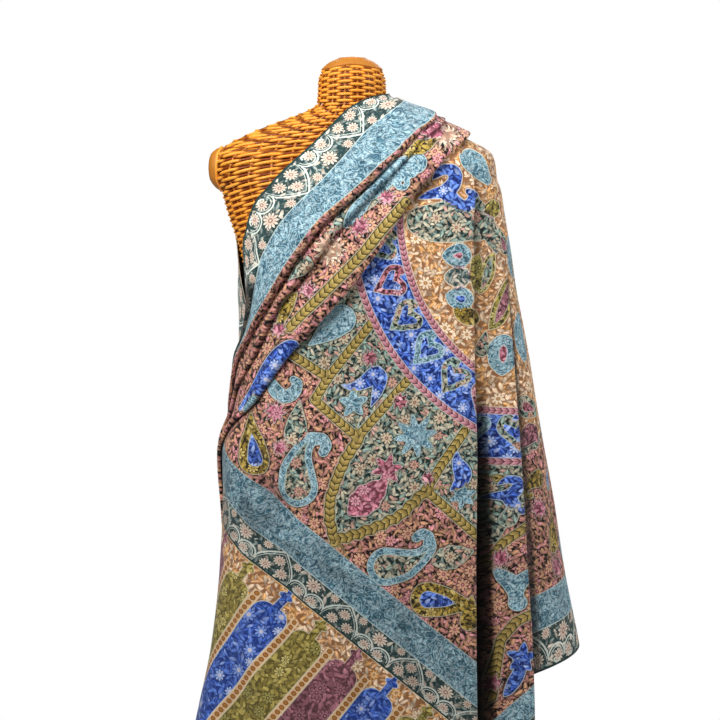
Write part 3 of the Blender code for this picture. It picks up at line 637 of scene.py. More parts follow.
SIDE_MOTIFS = tuple(motif for motif in FRONT_MOTIFS if motif.x > 110 and motif.z > 1190) + (
    M(S.FEATHER, 172, 1330, 14, 24, D.GREEN, D.GREEN),
    M(S.FEATHER, 176, 1262, 9, 340, D.OLIVE, D.GREEN, 4),
    M(S.DROP, 188, 1348, 12, 120, D.OLIVE, D.OLIVE),
    M(S.FEATHER, 196, 1222, 12, 335, D.OLIVE, D.PLUM, 6),
    M(S.DROP, 204, 1296, 10, 20, D.GREEN, D.PLUM, 5),
    M(S.POD, 195, 1158, 18, 178, D.TEAL, D.ROSE, 13),
    M(S.DROP, 170, 1160, 9, 350, D.GREEN, D.GREEN),
    M(S.SCROLL, 206, 968, 6, 350, D.BLUE, D.BLUE),
    M(S.PAISLEY, 202, 935, 10, 330, D.GREEN, D.GREEN),
    M(S.STAR, 194, 884, 16, 0, D.ROSE, D.ROSE, points=12),
    M(S.CREST, 210, 848, 17, 0, D.TEAL, D.TEAL),
    M(S.STAR, 219, 752, 21, 12, D.BLUE, D.BLUE, points=5),
    M(S.FEATHER, 211, 724, 8, 330, D.BLUE, D.BLUE),
    M(S.STAR, 186, 720, 14, 0, D.ROSE, D.ROSE, points=10),
)
OUTER_MOTIFS = (
    M(S.GOURD, 163, 1405, 14, 233, D.TEAL, D.TEAL),
    M(S.POD, 247, 1345, 13, 10, D.TEAL, D.TEAL),
    M(S.POD, 239, 1290, 19, 175, D.TEAL, D.TEAL),
    M(S.FEATHER, 257, 1250, 13, 345, D.OLIVE, D.GREEN, 5),
    M(S.POD, 243, 1184, 22, 178, D.TEAL, D.TEAL),
    M(S.DROP, 236, 1085, 15, 260, D.GREEN, D.PINK, 8),
    M(S.HORN, 242, 1049, 15, 40, D.PLUM, D.PLUM),
    M(S.STAR, 278, 1110, 18, 0, D.PINK, D.PINK, points=10),
    M(S.PAISLEY, 255, 990, 12, 110, D.GOLD, D.GOLD, hand=-1),
    M(S.POD, 290, 985, 11, 330, D.TEAL, D.BLUE, 5),
    M(S.STAR, 252, 950, 17, 0, D.ROSE, D.ROSE, points=9),
    M(S.DROP, 286, 905, 15, 350, D.GOLD, D.GOLD),
    M(S.STAR, 288, 872, 18, 0, D.ROSE, D.ROSE, points=9),
    M(S.PAISLEY, 330, 900, 22, 350, D.TEAL, D.GREEN, 8),
    M(S.PAISLEY, 430, 960, 24, 20, D.TEAL, D.GREEN, 8, -1),
    M(S.DROP, 360, 1020, 18, 200, D.GOLD, D.BLUE, 9),
    M(S.POD, 330, 1170, 19, 185, D.TEAL, D.ROSE, 11),
    M(S.FEATHER, 380, 1200, 13, 12, D.OLIVE, D.GREEN, 5),
    M(S.POD, 420, 1150, 19, 175, D.TEAL, D.TEAL),
    M(S.SCROLL, 360, 1290, 8, 20, D.BLUE, D.BLUE),
    M(S.DROP, 470, 1230, 20, 160, D.GREEN, D.PINK, 9),
    M(S.STAR, 400, 1080, 22, 0, D.TEAL, D.BLUE, 12),
    M(S.DROP, 480, 900, 20, 340, D.GOLD, D.BLUE, 10),
    M(S.STAR, 390, 880, 16, 0, D.ROSE, D.ROSE, points=10),
)
PLEAT_MOTIFS = (
    M(S.STAR, 124, 1436, 19, 0, D.IVORY, D.IVORY, points=14),
    M(S.DROP, 96, 1449, 12, 250, D.ROSE, D.ROSE),
    M(S.PAISLEY, 84, 1404, 14, 120, D.TEAL, D.TEAL, hand=-1),
    M(S.FEATHER, 92, 1423, 8, 112, D.GOLD, D.GOLD),
    M(S.STAR, 70, 1388, 15, 0, D.TEAL, D.TEAL, points=5),
    M(S.FEATHER, 44, 1384, 12, 132, D.TEAL, D.TEAL),
    M(S.FEATHER, 8, 1342, 9, 138, D.TEAL, D.TEAL),
    M(S.STAR, 46, 1360, 14, 0, D.ROSE, D.ROSE, points=10),
    M(S.STAR, 10, 1322, 17, 0, D.ROSE, D.ROSE, points=10),
    M(S.STAR, -28, 1292, 23, 0, D.IVORY, D.IVORY, points=14),
    M(S.DROP, -60, 1274, 10, 140, D.GREEN, D.GREEN),
    M(S.STAR, -56, 1240, 13, 0, D.ROSE, D.ROSE, points=9),
    M(S.PLUME, -108, 1127, 14.5, 319, D.BLUE, D.BLUE),
    M(S.FEATHER, -84, 1214, 8, 150, D.GOLD, D.GOLD),
    M(S.STAR, -94, 1188, 13, 0, D.ROSE, D.ROSE, points=8),
    M(S.DROP, -128, 1096, 9, 150, D.TEAL, D.TEAL),
)
FRONT_BANDS = (
    Band(((27, 1197), (-29, 1127), (-49, 1094)), 13),
    Band(((-100, 1168), (-33, 1124)), 13),
    Band(((-49, 1094), (7, 1044)), 13),
    Band(((77, 1124), (7, 1044)), 13),
    Band(((10, 1044), (-8, 1017), (-20, 990), (-29, 963), (-30, 935), (-23, 908)), 15, 1.6),
    Band(((-23, 908), (8, 917), (35, 927), (64, 941), (84, 960), (98, 974)), 15, 3.4),
    Band(((98, 974), (117, 1005), (150, 1052)), 13),
    Band(((98, 974), (166, 912)), 13),
)
SIDE_BANDS = (
    Band(((190, 990), (212, 984), (232, 975)), 11),
    Band(((180, 880), (196, 904), (232, 932)), 12),
    Band(((184, 700), (194, 776), (212, 800), (236, 812)), 13),
)
PLEAT_BANDS = (Band(((70, 1352), (10, 1282), (-64, 1206), (-78, 1190)), 14),)
FRONT_GREENS = (
    ((-100, 1176), (-32, 1122), (28, 1198), (24, 1244), (8, 1280), (-30, 1250), (-82, 1200)),
    ((28, 1197), (50, 1200), (90, 1140), (77, 1124), (7, 1044), (-49, 1094), (-29, 1127)),
    (
        (7, 1044), (77, 1124), (90, 1140), (180, 1090), (180, 1047), (150, 1047), (117, 1005), (98, 974),
        (88, 962), (64, 941), (35, 927), (8, 917), (-23, 908), (-30, 935), (-29, 963), (-20, 990),
        (-8, 1017),
    ),
    ((146, 1047), (220, 1040), (220, 860), (158, 918), (98, 974), (117, 1005)),
)
SIDE_GREENS = (((150, 1010), (240, 1010), (240, 945), (214, 950), (190, 905), (150, 900)),)
PLEAT_GREENS = (((-4, 1372), (24, 1400), (60, 1380), (30, 1350), (-30, 1310)),)


@dataclass(frozen=True)
class Drawing:
    """What is embroidered on one stretch besides the borders, medallion and columns."""

    motifs: tuple[Motif, ...] = ()
    bands: tuple[Band, ...] = ()
    greens: tuple[tuple[tuple[float, float], ...], ...] = ()
    hearts: bool = False


PLAIN = Drawing()
FRONT_DRAWING = Drawing(FRONT_MOTIFS, FRONT_BANDS, FRONT_GREENS, hearts=True)
SIDE_DRAWING = Drawing(SIDE_MOTIFS, SIDE_BANDS, SIDE_GREENS, hearts=True)
OUTER_DRAWING = Drawing(OUTER_MOTIFS)
PLEAT_DRAWING = Drawing(PLEAT_MOTIFS, PLEAT_BANDS, PLEAT_GREENS)


def inside_distance(polygon: Sequence[tuple[float, float]], x: Array, z: Array) -> Array:
    """Signed distances to a polygon, negative inside."""
    best = np.full(x.shape, 1e3)
    inside = np.zeros(x.shape, bool)
    corners = list(polygon)
    for (ax, az), (bx, bz) in zip(corners, corners[1:] + corners[:1]):
        dx, dz = bx - ax, bz - az
        t = np.clip(((x - ax) * dx + (z - az) * dz) / (dx * dx + dz * dz), 0.0, 1.0)
        best = np.minimum(best, np.hypot(x - ax - t * dx, z - az - t * dz))
        if dz:
            inside ^= ((az > z) != (bz > z)) & (x < ax + dx * (z - az) / dz)
    return np.where(inside, -best, best)


def band_distance(band: Band, x: Array, z: Array) -> tuple[Array, Array]:
    """Signed distances across a band's middle line, and the distance along it."""
    best = np.full(x.shape, 60.0)
    along = np.zeros(x.shape)
    run = 0.0
    for (ax, az), (bx, bz) in zip(band.corners, band.corners[1:]):
        dx, dz = bx - ax, bz - az
        size = math.hypot(dx, dz)
        t = np.clip(((x - ax) * dx + (z - az) * dz) / size**2, 0.0, 1.0)
        side = ((x - ax) * dz - (z - az) * dx) / size
        far = np.hypot(x - ax - t * dx, z - az - t * dz)
        nearer = far < np.abs(best)
        best = np.where(nearer, np.where(side < 0, -far, far), best)
        along = np.where(nearer, run + t * size, along)
        run += size
    if band.scallop:
        best = best + band.scallop * (np.abs(np.sin(along * math.pi / 17.0)) - 0.5)
    return best * 13.0 / band.width, along


@dataclass(frozen=True)
class ClothPlane:
    """Where a stretch's points lie on the flat cloth, in mm, and what is drawn there.

    x and z place the medallion and the ends' columns, and drawn_x the motifs. edge is the distance
    from the long edge, along runs beside it, and end is the distance from the cloth's end. shadow is
    the painted shade: how much darker the colour is painted in deep hollows, under covering layers
    and beside fold edges.
    """

    x: Array
    z: Array
    drawn_x: Array
    edge: Array
    along: Array
    end: Array
    ring: float
    drawing: Drawing
    laid_out: bool = True
    shadow: Array | float = 0.0


@dataclass(frozen=True)
class Textile:
    """The whole cloth's layout, in mm: borders, medallion and the ends' columns."""

    turn: float = math.atan2(0.63, 0.776)
    origin_x: float = 327.0
    origin_z: float = 1341.0
    middle: float = 510.0
    border: float = 46.0
    band: float = 85.0
    ring_inner: float = 259.0
    ring_outer: float = 335.0
    cord: float = 9.5
    end_teal: float = 565.0
    end_border: float = 610.0
    end_columns: float = 646.0
    column_pitch: float = 60.0
    column_half: float = 24.0
    column_start: float = 508.0
    repeat: float = 112.0
    hearts: int = 36

    def flat(self, x: Array, z: Array) -> tuple[Array, Array]:
        """Length from the middle and width from the top edge, for points as they hang."""
        dx, dz = x - self.origin_x, z - self.origin_z
        cos, sin = math.cos(self.turn), math.sin(self.turn)
        return -sin * dx - cos * dz, self.middle + cos * dx - sin * dz

    def ring_motifs(self) -> tuple[Motif, ...]:
        """The hearts that stand round the medallion's ring."""
        found = []
        radius = 0.5 * (self.ring_inner + self.ring_outer) - 7.0
        for i in range(self.hearts):
            turn = math.radians(198.4) + 2 * math.pi * i / self.hearts
            x = self.origin_x + radius * math.cos(turn)
            z = self.origin_z + radius * math.sin(turn)
            dye = (Dye.PINK, Dye.GREEN, Dye.TEAL, Dye.GREEN)[i % 4]
            found.append(Motif(Shape.HEART, x, z, 15.0, math.degrees(turn) - 82, dye, dye))
        return tuple(found)

    @staticmethod
    def _nearest(motifs: Sequence[Motif], x: Array, z: Array) -> tuple[Array, Array, Array, Array]:
        """Distance to the nearest motif, its core's distance, and its two dyes."""
        best, core = np.full(x.shape, 40.0), np.full(x.shape, 40.0)
        rim_dye, core_dye = np.zeros(x.shape), np.zeros(x.shape)
        for motif in motifs:
            near = np.hypot(x - motif.x, z - motif.z) < motif.reach()
            if not near.any():
                continue
            far = np.full(x.shape, 100.0)
            far[near] = motif.distance(x[near], z[near])
            closer = far < best
            best[closer] = far[closer]
            core[closer] = far[closer] + motif.rim_width
            rim_dye[closer] = motif.rim
            core_dye[closer] = motif.core
        return best, core, rim_dye, core_dye

    def measure(self, plane: ClothPlane) -> dict[str, Array]:
        """Everything that the dyes and the painted shade need at each point.

        Args:
            plane: The points on the flat cloth.

        Returns:
            Three numbers a point for each attribute.
        """
        x, z = plane.drawn_x, plane.z
        green, across, along = np.full(x.shape, 60.0), np.full(x.shape, 60.0), np.zeros(x.shape)
        for polygon in plane.drawing.greens:
            green = np.minimum(green, inside_distance(polygon, x, z))
        for band in plane.drawing.bands:
            side, run = band_distance(band, x, z)
            nearer = np.abs(side) < np.abs(across)
            across, along = np.where(nearer, side, across), np.where(nearer, run, along)
        near, core, rim_dye, core_dye = self._nearest(plane.drawing.motifs, x, z)
        hearts = self.ring_motifs() if plane.drawing.hearts else ()
        heart, _, heart_dye, _ = self._nearest(hearts, plane.x, plane.z)
        away = 0.0 if plane.laid_out else 5000.0
        return {
            "plane": np.stack([plane.x + away, z + away, plane.ring + 0.0 * x], -1),
            "edges": np.stack([plane.along + 0.0 * x, plane.edge + 0.0 * x, plane.end + 0.0 * x], -1),
            "lattice": np.stack([green, across, along], -1),
            "motif": np.stack([near, core, rim_dye], -1),
            "motif_more": np.stack([core_dye, heart, heart_dye], -1),
            "shadow": np.stack([plane.shadow + 0.0 * x] * 3, -1),
        }


TEXTILE = Textile()


# ---------------------------------------------------------------- objects and shader graphs


def placed(name: str, data: bpy.types.ID) -> bpy.types.Object:
    """A new object in the scene."""
    obj = bpy.data.objects.new(name, data)
    bpy.context.scene.collection.objects.link(obj)
    return obj


class Graph:
    """A new material's nodes, with Python's operators for the sums."""

    def __init__(self, name: str) -> None:
        """Makes a material with an empty tree.

        Args:
            name: The material's name.
        """
        self.material = bpy.data.materials.new(name)
        self.material.use_nodes = True
        self.tree = self.material.node_tree
        self.tree.nodes.clear()

    def node(self, kind: str, **settings: object) -> bpy.types.Node:
        """A new node with these settings."""
        made = self.tree.nodes.new(kind)
        for name, value in settings.items():
            setattr(made, name, value)
        return made

    def put(self, socket: bpy.types.NodeSocket, value: object) -> None:
        """Links or sets an input."""
        if isinstance(value, Value):
            self.tree.links.new(value.socket, socket)
        elif isinstance(value, bpy.types.NodeSocket):
            self.tree.links.new(value, socket)
        else:
            socket.default_value = value

    def math(self, operation: str, *inputs: object, clamp: bool = False) -> Value:
        """A Math node."""
        node = self.node("ShaderNodeMath", operation=operation, use_clamp=clamp)
        for socket, value in zip(node.inputs, inputs):
            self.put(socket, value)
        return Value(self, node.outputs[0])

    def vector(self, operation: str, *inputs: object) -> Value:
        """A Vector Math node's vector, or its number where it has one."""
        node = self.node("ShaderNodeVectorMath", operation=operation)
        for socket, value in zip(node.inputs, inputs):
            self.put(socket, value)
        return Value(self, node.outputs["Value" if operation in ("LENGTH", "DOT_PRODUCT") else "Vector"])

    def scaled(self, vector: Value, factor: object) -> Value:
        """A vector times a number."""
        node = self.node("ShaderNodeVectorMath", operation="SCALE")
        self.put(node.inputs[0], vector)
        self.put(node.inputs["Scale"], factor)
        return Value(self, node.outputs["Vector"])

    def parts(self, vector: object) -> tuple[Value, Value, Value]:
        """A vector's three numbers."""
        node = self.node("ShaderNodeSeparateXYZ")
        self.put(node.inputs[0], vector)
        return tuple(Value(self, socket) for socket in node.outputs)

    def joined(self, x: object, y: object, z: object = 0.0) -> Value:
        """A vector of three numbers."""
        node = self.node("ShaderNodeCombineXYZ")
        for socket, value in zip(node.inputs, (x, y, z)):
            self.put(socket, value)
        return Value(self, node.outputs[0])

    def attribute(self, name: str) -> tuple[Value, Value, Value]:
        """The three numbers of a mesh attribute."""
        return self.parts(self.node("ShaderNodeAttribute", attribute_name=name).outputs["Vector"])

    def blend(self, factor: object, first: object, second: object) -> Value:
        """Two colours mixed."""
        node = self.node("ShaderNodeMix", data_type="RGBA")
        self.put(node.inputs["Factor"], factor)
        self.put(node.inputs[6], first)
        self.put(node.inputs[7], second)
        return Value(self, node.outputs[2])

    def between(self, factor: object, first: object, second: object) -> Value:
        """Two numbers mixed."""
        node = self.node("ShaderNodeMix", data_type="FLOAT")
        for index, value in zip((0, 2, 3), (factor, first, second)):
            self.put(node.inputs[index], value)
        return Value(self, node.outputs[0])

    def steps(self, factor: object, colours: Sequence[str]) -> Value:
        """A colour by its number in a list."""
        node = self.node("ShaderNodeValToRGB")
        ramp = node.color_ramp
        ramp.interpolation = "CONSTANT"
        while len(ramp.elements) < len(colours):
            ramp.elements.new(0.5)
        for i, colour in enumerate(colours):
            ramp.elements[i].position = i / len(colours)
            ramp.elements[i].color = rgb(colour)
        self.put(node.inputs[0], factor)
        return Value(self, node.outputs["Color"])

    def voronoi(self, place: object, cell: float, randomness: float = 1.0) -> tuple[Value, Value, Value]:
        """The way from the nearest of a field of points, three random numbers for it, and its distance."""
        node = self.node("ShaderNodeTexVoronoi", voronoi_dimensions="2D")
        self.put(node.inputs["Vector"], place)
        node.inputs["Scale"].default_value = 1.0 / cell
        node.inputs["Randomness"].default_value = randomness
        local = self.vector("SUBTRACT", place, node.outputs["Position"])
        return local, Value(self, node.outputs["Color"]), Value(self, node.outputs["Distance"])

    def pick(self, mask: object, first: object, second: object) -> Value:
        """One of two vectors."""
        node = self.node("ShaderNodeMix", data_type="VECTOR")
        for index, value in zip((0, 4, 5), (mask, first, second)):
            self.put(node.inputs[index], value)
        return Value(self, node.outputs[1])

    def _noise_node(self, place: object, scale: float, detail: float, distortion: float) -> bpy.types.Node:
        """A Noise node."""
        node = self.node("ShaderNodeTexNoise")
        self.put(node.inputs["Vector"], place)
        for name, value in (("Scale", scale), ("Detail", detail), ("Distortion", distortion)):
            node.inputs[name].default_value = value
        return node

    def wander(self, place: object, scale: float, size: float) -> Value:
        """A slow random shift."""
        colour = self._noise_node(place, scale, 1.0, 0.0).outputs["Color"]
        return self.scaled(self.vector("SUBTRACT", colour, (0.5, 0.5, 0.5)), size)

    def noise(self, place: object, scale: float, detail: float, distortion: float = 0.0) -> Value:
        """A smooth random number."""
        return Value(self, self._noise_node(place, scale, detail, distortion).outputs[0])

    def finish(
        self, colour: object, roughness: object, bump: object, strength: float, **constants: float
    ) -> bpy.types.Material:
        """The material, with its colour, roughness, relief and constants."""
        shader = self.node("ShaderNodeBsdfPrincipled")
        for name, value in constants.items():
            shader.inputs[name.replace("_", " ").title().replace("Ior", "IOR")].default_value = value
        self.put(shader.inputs["Base Color"], colour)
        self.put(shader.inputs["Roughness"], roughness)
        relief = self.node("ShaderNodeBump")
        relief.inputs["Strength"].default_value = strength
        relief.inputs["Distance"].default_value = 0.001
        self.put(relief.inputs["Height"], bump)
        self.put(shader.inputs["Normal"], relief.outputs[0])
        output = self.node("ShaderNodeOutputMaterial")
        self.tree.links.new(shader.outputs[0], output.inputs[0])
        return self.material


def sum_node(operation: str, swapped: bool = False) -> Callable[[Value, object], Value]:
    """A Python operator that adds a Math node, swapped where the plain number comes first."""

    def apply(value: Value, other: object) -> Value:
        pair = (other, value) if swapped else (value, other)
        return value.graph.math(operation, *pair)

    return apply


class Value:
    """A socket's number; Python's operators add Math nodes, and a comparison is 1 where it holds."""

    def __init__(self, graph: Graph, socket: bpy.types.NodeSocket) -> None:
        """Holds the socket."""
        self.graph = graph
        self.socket = socket

    __add__ = __radd__ = sum_node("ADD")
    __sub__ = sum_node("SUBTRACT")
    __rsub__ = sum_node("SUBTRACT", swapped=True)
    __mul__ = __rmul__ = sum_node("MULTIPLY")
    __truediv__ = sum_node("DIVIDE")
    __rtruediv__ = sum_node("DIVIDE", swapped=True)
    __lt__ = sum_node("LESS_THAN")
    __gt__ = sum_node("GREATER_THAN")

    def __abs__(self) -> Value:
        """The size without the sign."""
        return self.graph.math("ABSOLUTE", self)


def rgb(text: str) -> tuple[float, float, float, float]:
    """A hexadecimal sRGB colour as linear numbers."""
    parts = [int(text[i : i + 2], 16) / 255.0 for i in (0, 2, 4)]
    linear = [c / 12.92 if c <= 0.04045 else ((c + 0.055) / 1.055) ** 2.4 for c in parts]
    return (*linear, 1.0)


@dataclass
class Grounds:
    """The dye and the pale outline at each point, as grounds are laid over one another."""

    graph: Graph
    outline: float
    dye: Value | float = float(Dye.FIELD)
    line: Value | float = 0.0

    def lay(self, distance: Value, dye: object, line: float | None = None) -> Value:
        """Lays a ground where a distance is negative, with a line along its edge, and gives its mask."""
        g, line = self.graph, line or self.outline
        mask = distance < 0.0
        self.dye = g.between(mask, self.dye, dye if isinstance(dye, Value) else float(dye))
        kept = self.line * (distance > -line) if self.line else 0.0
        self.line = g.math("MAXIMUM", kept, abs(distance) < line)
        return mask


@dataclass(frozen=True)
class EmbroideredWool:
    """The shawl's finish: fine embroidery that fills every ground of the pattern."""

    name: str = "embroidered_pashmina"
    away: float = 60.0
    leaf_cell: float = 8.2
    leaf_length: float = 5.8
    leaf_width: float = 2.3
    flower_cell: float = 33.0
    flower_radius: float = 8.8
    outline: float = 0.62
    scroll_cell: float = 7.2
    bead: float = 8.0
    bead_radius: float = 3.2
    bead_strip: float = 5.2
    band_half: float = 6.5
    band_stitch: float = 8.6
    cord_stitch: float = 9.0
    gamma: float = 1.14
    daisies: tuple[tuple[float, float, float], ...] = (
        (-11.0, 11.5, 8.8),
        (12.5, 12.5, 8.8),
        (0.0, 28.5, 8.6),
        (44.0, 9.6, 8.8),
        (66.0, 9.6, 8.8),
        (56.0, 33.0, 11.6),
        (24.0, 39.5, 6.8),
        (-24.0, 39.5, 6.8),
    )

    def _leaves(self, g: Graph, place: Value, shift: float, size: float) -> tuple[Value, ...]:
        """One scatter of small leaves: how far inside one, two random numbers, and its vein."""
        moved = g.vector("ADD", place, (shift, 0.37 * shift, 0.0))
        local, random, _ = g.voronoi(moved, self.leaf_cell * size, 0.9)
        first, second, third = g.parts(random)
        rotate = g.node("ShaderNodeVectorRotate", rotation_type="Z_AXIS")
        g.put(rotate.inputs["Vector"], local)
        g.put(rotate.inputs["Angle"], first * (2 * math.pi))
        x, y, _ = g.parts(rotate.outputs[0])
        x, y = x / (self.leaf_length * size), y / (self.leaf_width * size)
        return 1.0 - x * x - abs(y), second, third + x * 0.7, abs(y) < 0.2

    @staticmethod
    def _flower(
        g: Graph, local: Value, petals: float, turn: object, cut: float
    ) -> tuple[Value, Value, Value]:
        """How far inside a flower of radius 1, how near a petal's middle, and the distance out."""
        x, y, _ = g.parts(local)
        out = g.vector("LENGTH", local)
        share = g.math("ARCTAN2", y, x) * (petals / (2 * math.pi)) + turn
        petal = 1.0 - g.math("PINGPONG", share, 0.5) * 2.0
        edge = g.math("POWER", petal, 0.8) * cut + (1.0 - cut)
        return edge - out, petal, out

    @staticmethod
    def _block(g: Graph, side: Value, down: Value, half: float, top: float, bottom: float) -> Value:
        """Signed distance to a rounded bar between two distances down."""
        corner = 0.7 * half
        dx = abs(side) - (half - corner)
        dz = abs(down - 0.5 * (top + bottom)) - (0.5 * (bottom - top) - corner)
        outside = g.vector("LENGTH", g.joined(g.math("MAXIMUM", dx, 0.0), g.math("MAXIMUM", dz, 0.0)))
        return outside + g.math("MINIMUM", g.math("MAXIMUM", dx, dz), 0.0) - corner

    def _columns(self, g: Graph, length: Value, width: Value) -> tuple[Value, Value, Value, Value]:
        """Distance to the end's columns, their dye, the distance from the bead strips, and down."""
        index = g.math("ROUND", (width - TEXTILE.column_start) / TEXTILE.column_pitch)
        side = width - TEXTILE.column_start - index * TEXTILE.column_pitch
        down = length - TEXTILE.end_columns
        body = self._block(g, side, down, TEXTILE.column_half, 27.0, 298.0)
        neck = self._block(g, side, down, 5.2, 10.0, 44.0)
        crown = self._block(g, side, down, 11.0, 5.0, 13.5) + down * 0.1
        crown = g.math("MINIMUM", crown - 0.9, self._block(g, side, down, 3.6, -2.0, 16.0))
        order = g.math("MODULO", abs(index), 3.0)
        dye = float(Dye.BLUE) + (abs(order - 1.0) < 0.5) * (Dye.OLIVE - Dye.BLUE)
        dye = dye + (order > 1.5) * (Dye.PLUM - Dye.BLUE)
        shape = g.math("MINIMUM", g.math("MINIMUM", body, neck), crown)
        return shape, dye, abs(abs(side) - 0.5 * TEXTILE.column_pitch), down

    @staticmethod
    def _arch(g: Graph, a: Value, b: Value) -> Value:
        """Signed distance to the border's line of pointed arches and round lobes."""
        t = g.math("MINIMUM", a / 27.0, 0.97)
        rest = 1.0 - t
        slope = g.math("POWER", rest, -0.44) * 0.705
        keel = b - (12.0 + g.math("POWER", rest, 0.56) * 34.0)
        keel = keel / g.math("SQRT", slope * slope + 1.0)
        lobe = g.vector("LENGTH", g.joined(a - 41.5, b - 9.0)) - 14.5
        return g.between(a < 27.0, lobe + (b < 8.0) * 9.0, keel)

    def _daisy(self, g: Graph, a: Value, b: Value) -> Value:
        """The way from the nearest of the border's daisies, over its radius."""
        chart = g.joined(a, b)
        nearest, best = None, None
        for x, y, size in self.daisies:
            way = g.scaled(g.vector("SUBTRACT", chart, (x, y, 0.0)), 1.0 / size)
            gap = g.vector("LENGTH", way)
            if nearest is None:
                nearest, best = way, gap
                continue
            nearest, best = g.pick(gap < best, nearest, way), g.math("MINIMUM", gap, best)
        return nearest

    def build(self) -> bpy.types.Material:
        """The material.

        Returns:
            One material for every stretch of the shawl.
        """
        g = Graph(self.name)
        place = g.scaled(Value(g, g.node("ShaderNodeUVMap", uv_map="Flat").outputs[0]), 1000.0)
        shaken = g.vector("ADD", place, g.wander(place, 0.11, 2.2))
        x, z, ring_shown = g.attribute("plane")
        chart_along, edge, end = g.attribute("edges")
        green, across, along = g.attribute("lattice")
        motif, core, rim_dye = g.attribute("motif")
        core_dye, heart, heart_dye = g.attribute("motif_more")
        away = self.away

        # the cloth's own coordinates
        dx, dz = x - TEXTILE.origin_x, z - TEXTILE.origin_z
        radius = g.vector("LENGTH", g.joined(dx, dz))
        round_ring = g.math("ARCTAN2", dz, dx) * TEXTILE.ring_outer
        cos, sin = math.cos(TEXTILE.turn), math.sin(TEXTILE.turn)
        length, width = dx * -sin - dz * cos, dx * cos - dz * sin + TEXTILE.middle
        inside_bands = (edge > TEXTILE.band) * 1.0

        # the grounds, from the lowest up
        laid = Grounds(g, self.outline)
        laid.lay(green, Dye.GREEN)
        inner, outer = radius - TEXTILE.ring_inner, radius - TEXTILE.ring_outer
        half_cord = 0.5 * TEXTILE.cord
        cord_out, cord_in = abs(outer + half_cord) - half_cord, abs(inner - half_cord) - half_cord
        in_ring = laid.lay(outer, g.between(ring_shown, float(Dye.OCHRE), float(Dye.BLUE)))
        laid.lay(inner, Dye.OCHRE)
        in_cord = laid.lay(cord_out, g.between(ring_shown, float(Dye.GREEN), float(Dye.PINK))) * ring_shown
        in_cord = g.math("MAXIMUM", in_cord, laid.lay(cord_in + (1.0 - ring_shown) * away, Dye.PINK))
        in_gold = laid.lay(abs(across) - self.band_half + in_ring * away, Dye.GOLD)
        unlit = (1.0 - ring_shown * in_ring) * away
        heart = heart + unlit + g.math("MAXIMUM", cord_out < 0.0, cord_in < 0.0) * away
        laid.lay(heart, heart_dye)
        laid.lay(heart + 7.2, Dye.BLUE, 0.4)
        in_motif = laid.lay(motif, rim_dye)
        laid.lay(core, core_dye)
        in_end = laid.lay(TEXTILE.end_columns - length, Dye.OCHRE)
        column, column_dye, beads, down = self._columns(g, length, width)
        in_column = laid.lay(column + (1.0 - in_end) * away, column_dye)
        in_beads = laid.lay(beads - self.bead_strip + (down < 24.0) * away, Dye.OCHRE)
        end_border = abs(length - 0.5 * (TEXTILE.end_border + TEXTILE.end_columns)) - 18.0
        end_teal = abs(length - 0.5 * (TEXTILE.end_teal + TEXTILE.end_border)) - 22.5
        last, long = abs(end - 20.0) - 20.0, abs(edge - 0.5 * TEXTILE.border) - 0.5 * TEXTILE.border
        teal = abs(edge - 0.5 * (TEXTILE.border + TEXTILE.band)) - 0.5 * (TEXTILE.band - TEXTILE.border)
        outside = (1.0 - inside_bands) * away
        in_teal = laid.lay(g.math("MINIMUM", teal, end_teal + outside), Dye.TEAL)
        border = g.math("MINIMUM", g.math("MINIMUM", long, end_border + outside), last)
        in_border = laid.lay(border, Dye.BORDER)
        shades = {
            name: g.steps((laid.dye + 0.5) * (1.0 / len(Dye)), [getattr(PALETTES[dye], name) for dye in Dye])
            for name in Palette.__dataclass_fields__
        }

        # the leaves
        low = self._leaves(g, shaken, 0.0, 0.94)
        high = self._leaves(g, shaken, 13.7, 1.14)
        on_high = high[0] > 0.08
        leaf_mask = g.math("MAXIMUM", low[0] > 0.12, on_high)
        depth, kind, light, vein = (g.between(on_high, *pair) for pair in zip(low, high))
        leaf_colour = g.blend(kind > 0.5, shades["leaf"], shades["second_leaf"])
        leaf_colour = g.blend((kind > 0.86) * 0.8, leaf_colour, shades["petal"])
        leaf_colour = g.blend(vein * 0.5, leaf_colour, shades["second_petal"])
        leaf_colour = g.blend((depth < 0.34) * 0.45, leaf_colour, shades["ground"])
        leaf_colour = g.scaled(leaf_colour, light * 0.55 + 0.72)
        leaf_mask = leaf_mask * (1.0 - in_border * (kind < 0.4))
        speck, speck_kind, _, _ = self._leaves(g, shaken, 29.3, 0.6)
        speck_colour = g.scaled(g.blend(speck_kind > 0.5, shades["second_leaf"], shades["leaf"]), 0.48)
        colour = g.blend((speck > 0.12) * (1.0 - in_border * 0.5), shades["ground"], speck_colour)
        colour = g.blend(leaf_mask, colour, leaf_colour)
        colour = g.blend(in_column * 0.28, colour, shades["second_leaf"])
        relief = leaf_mask * 0.6

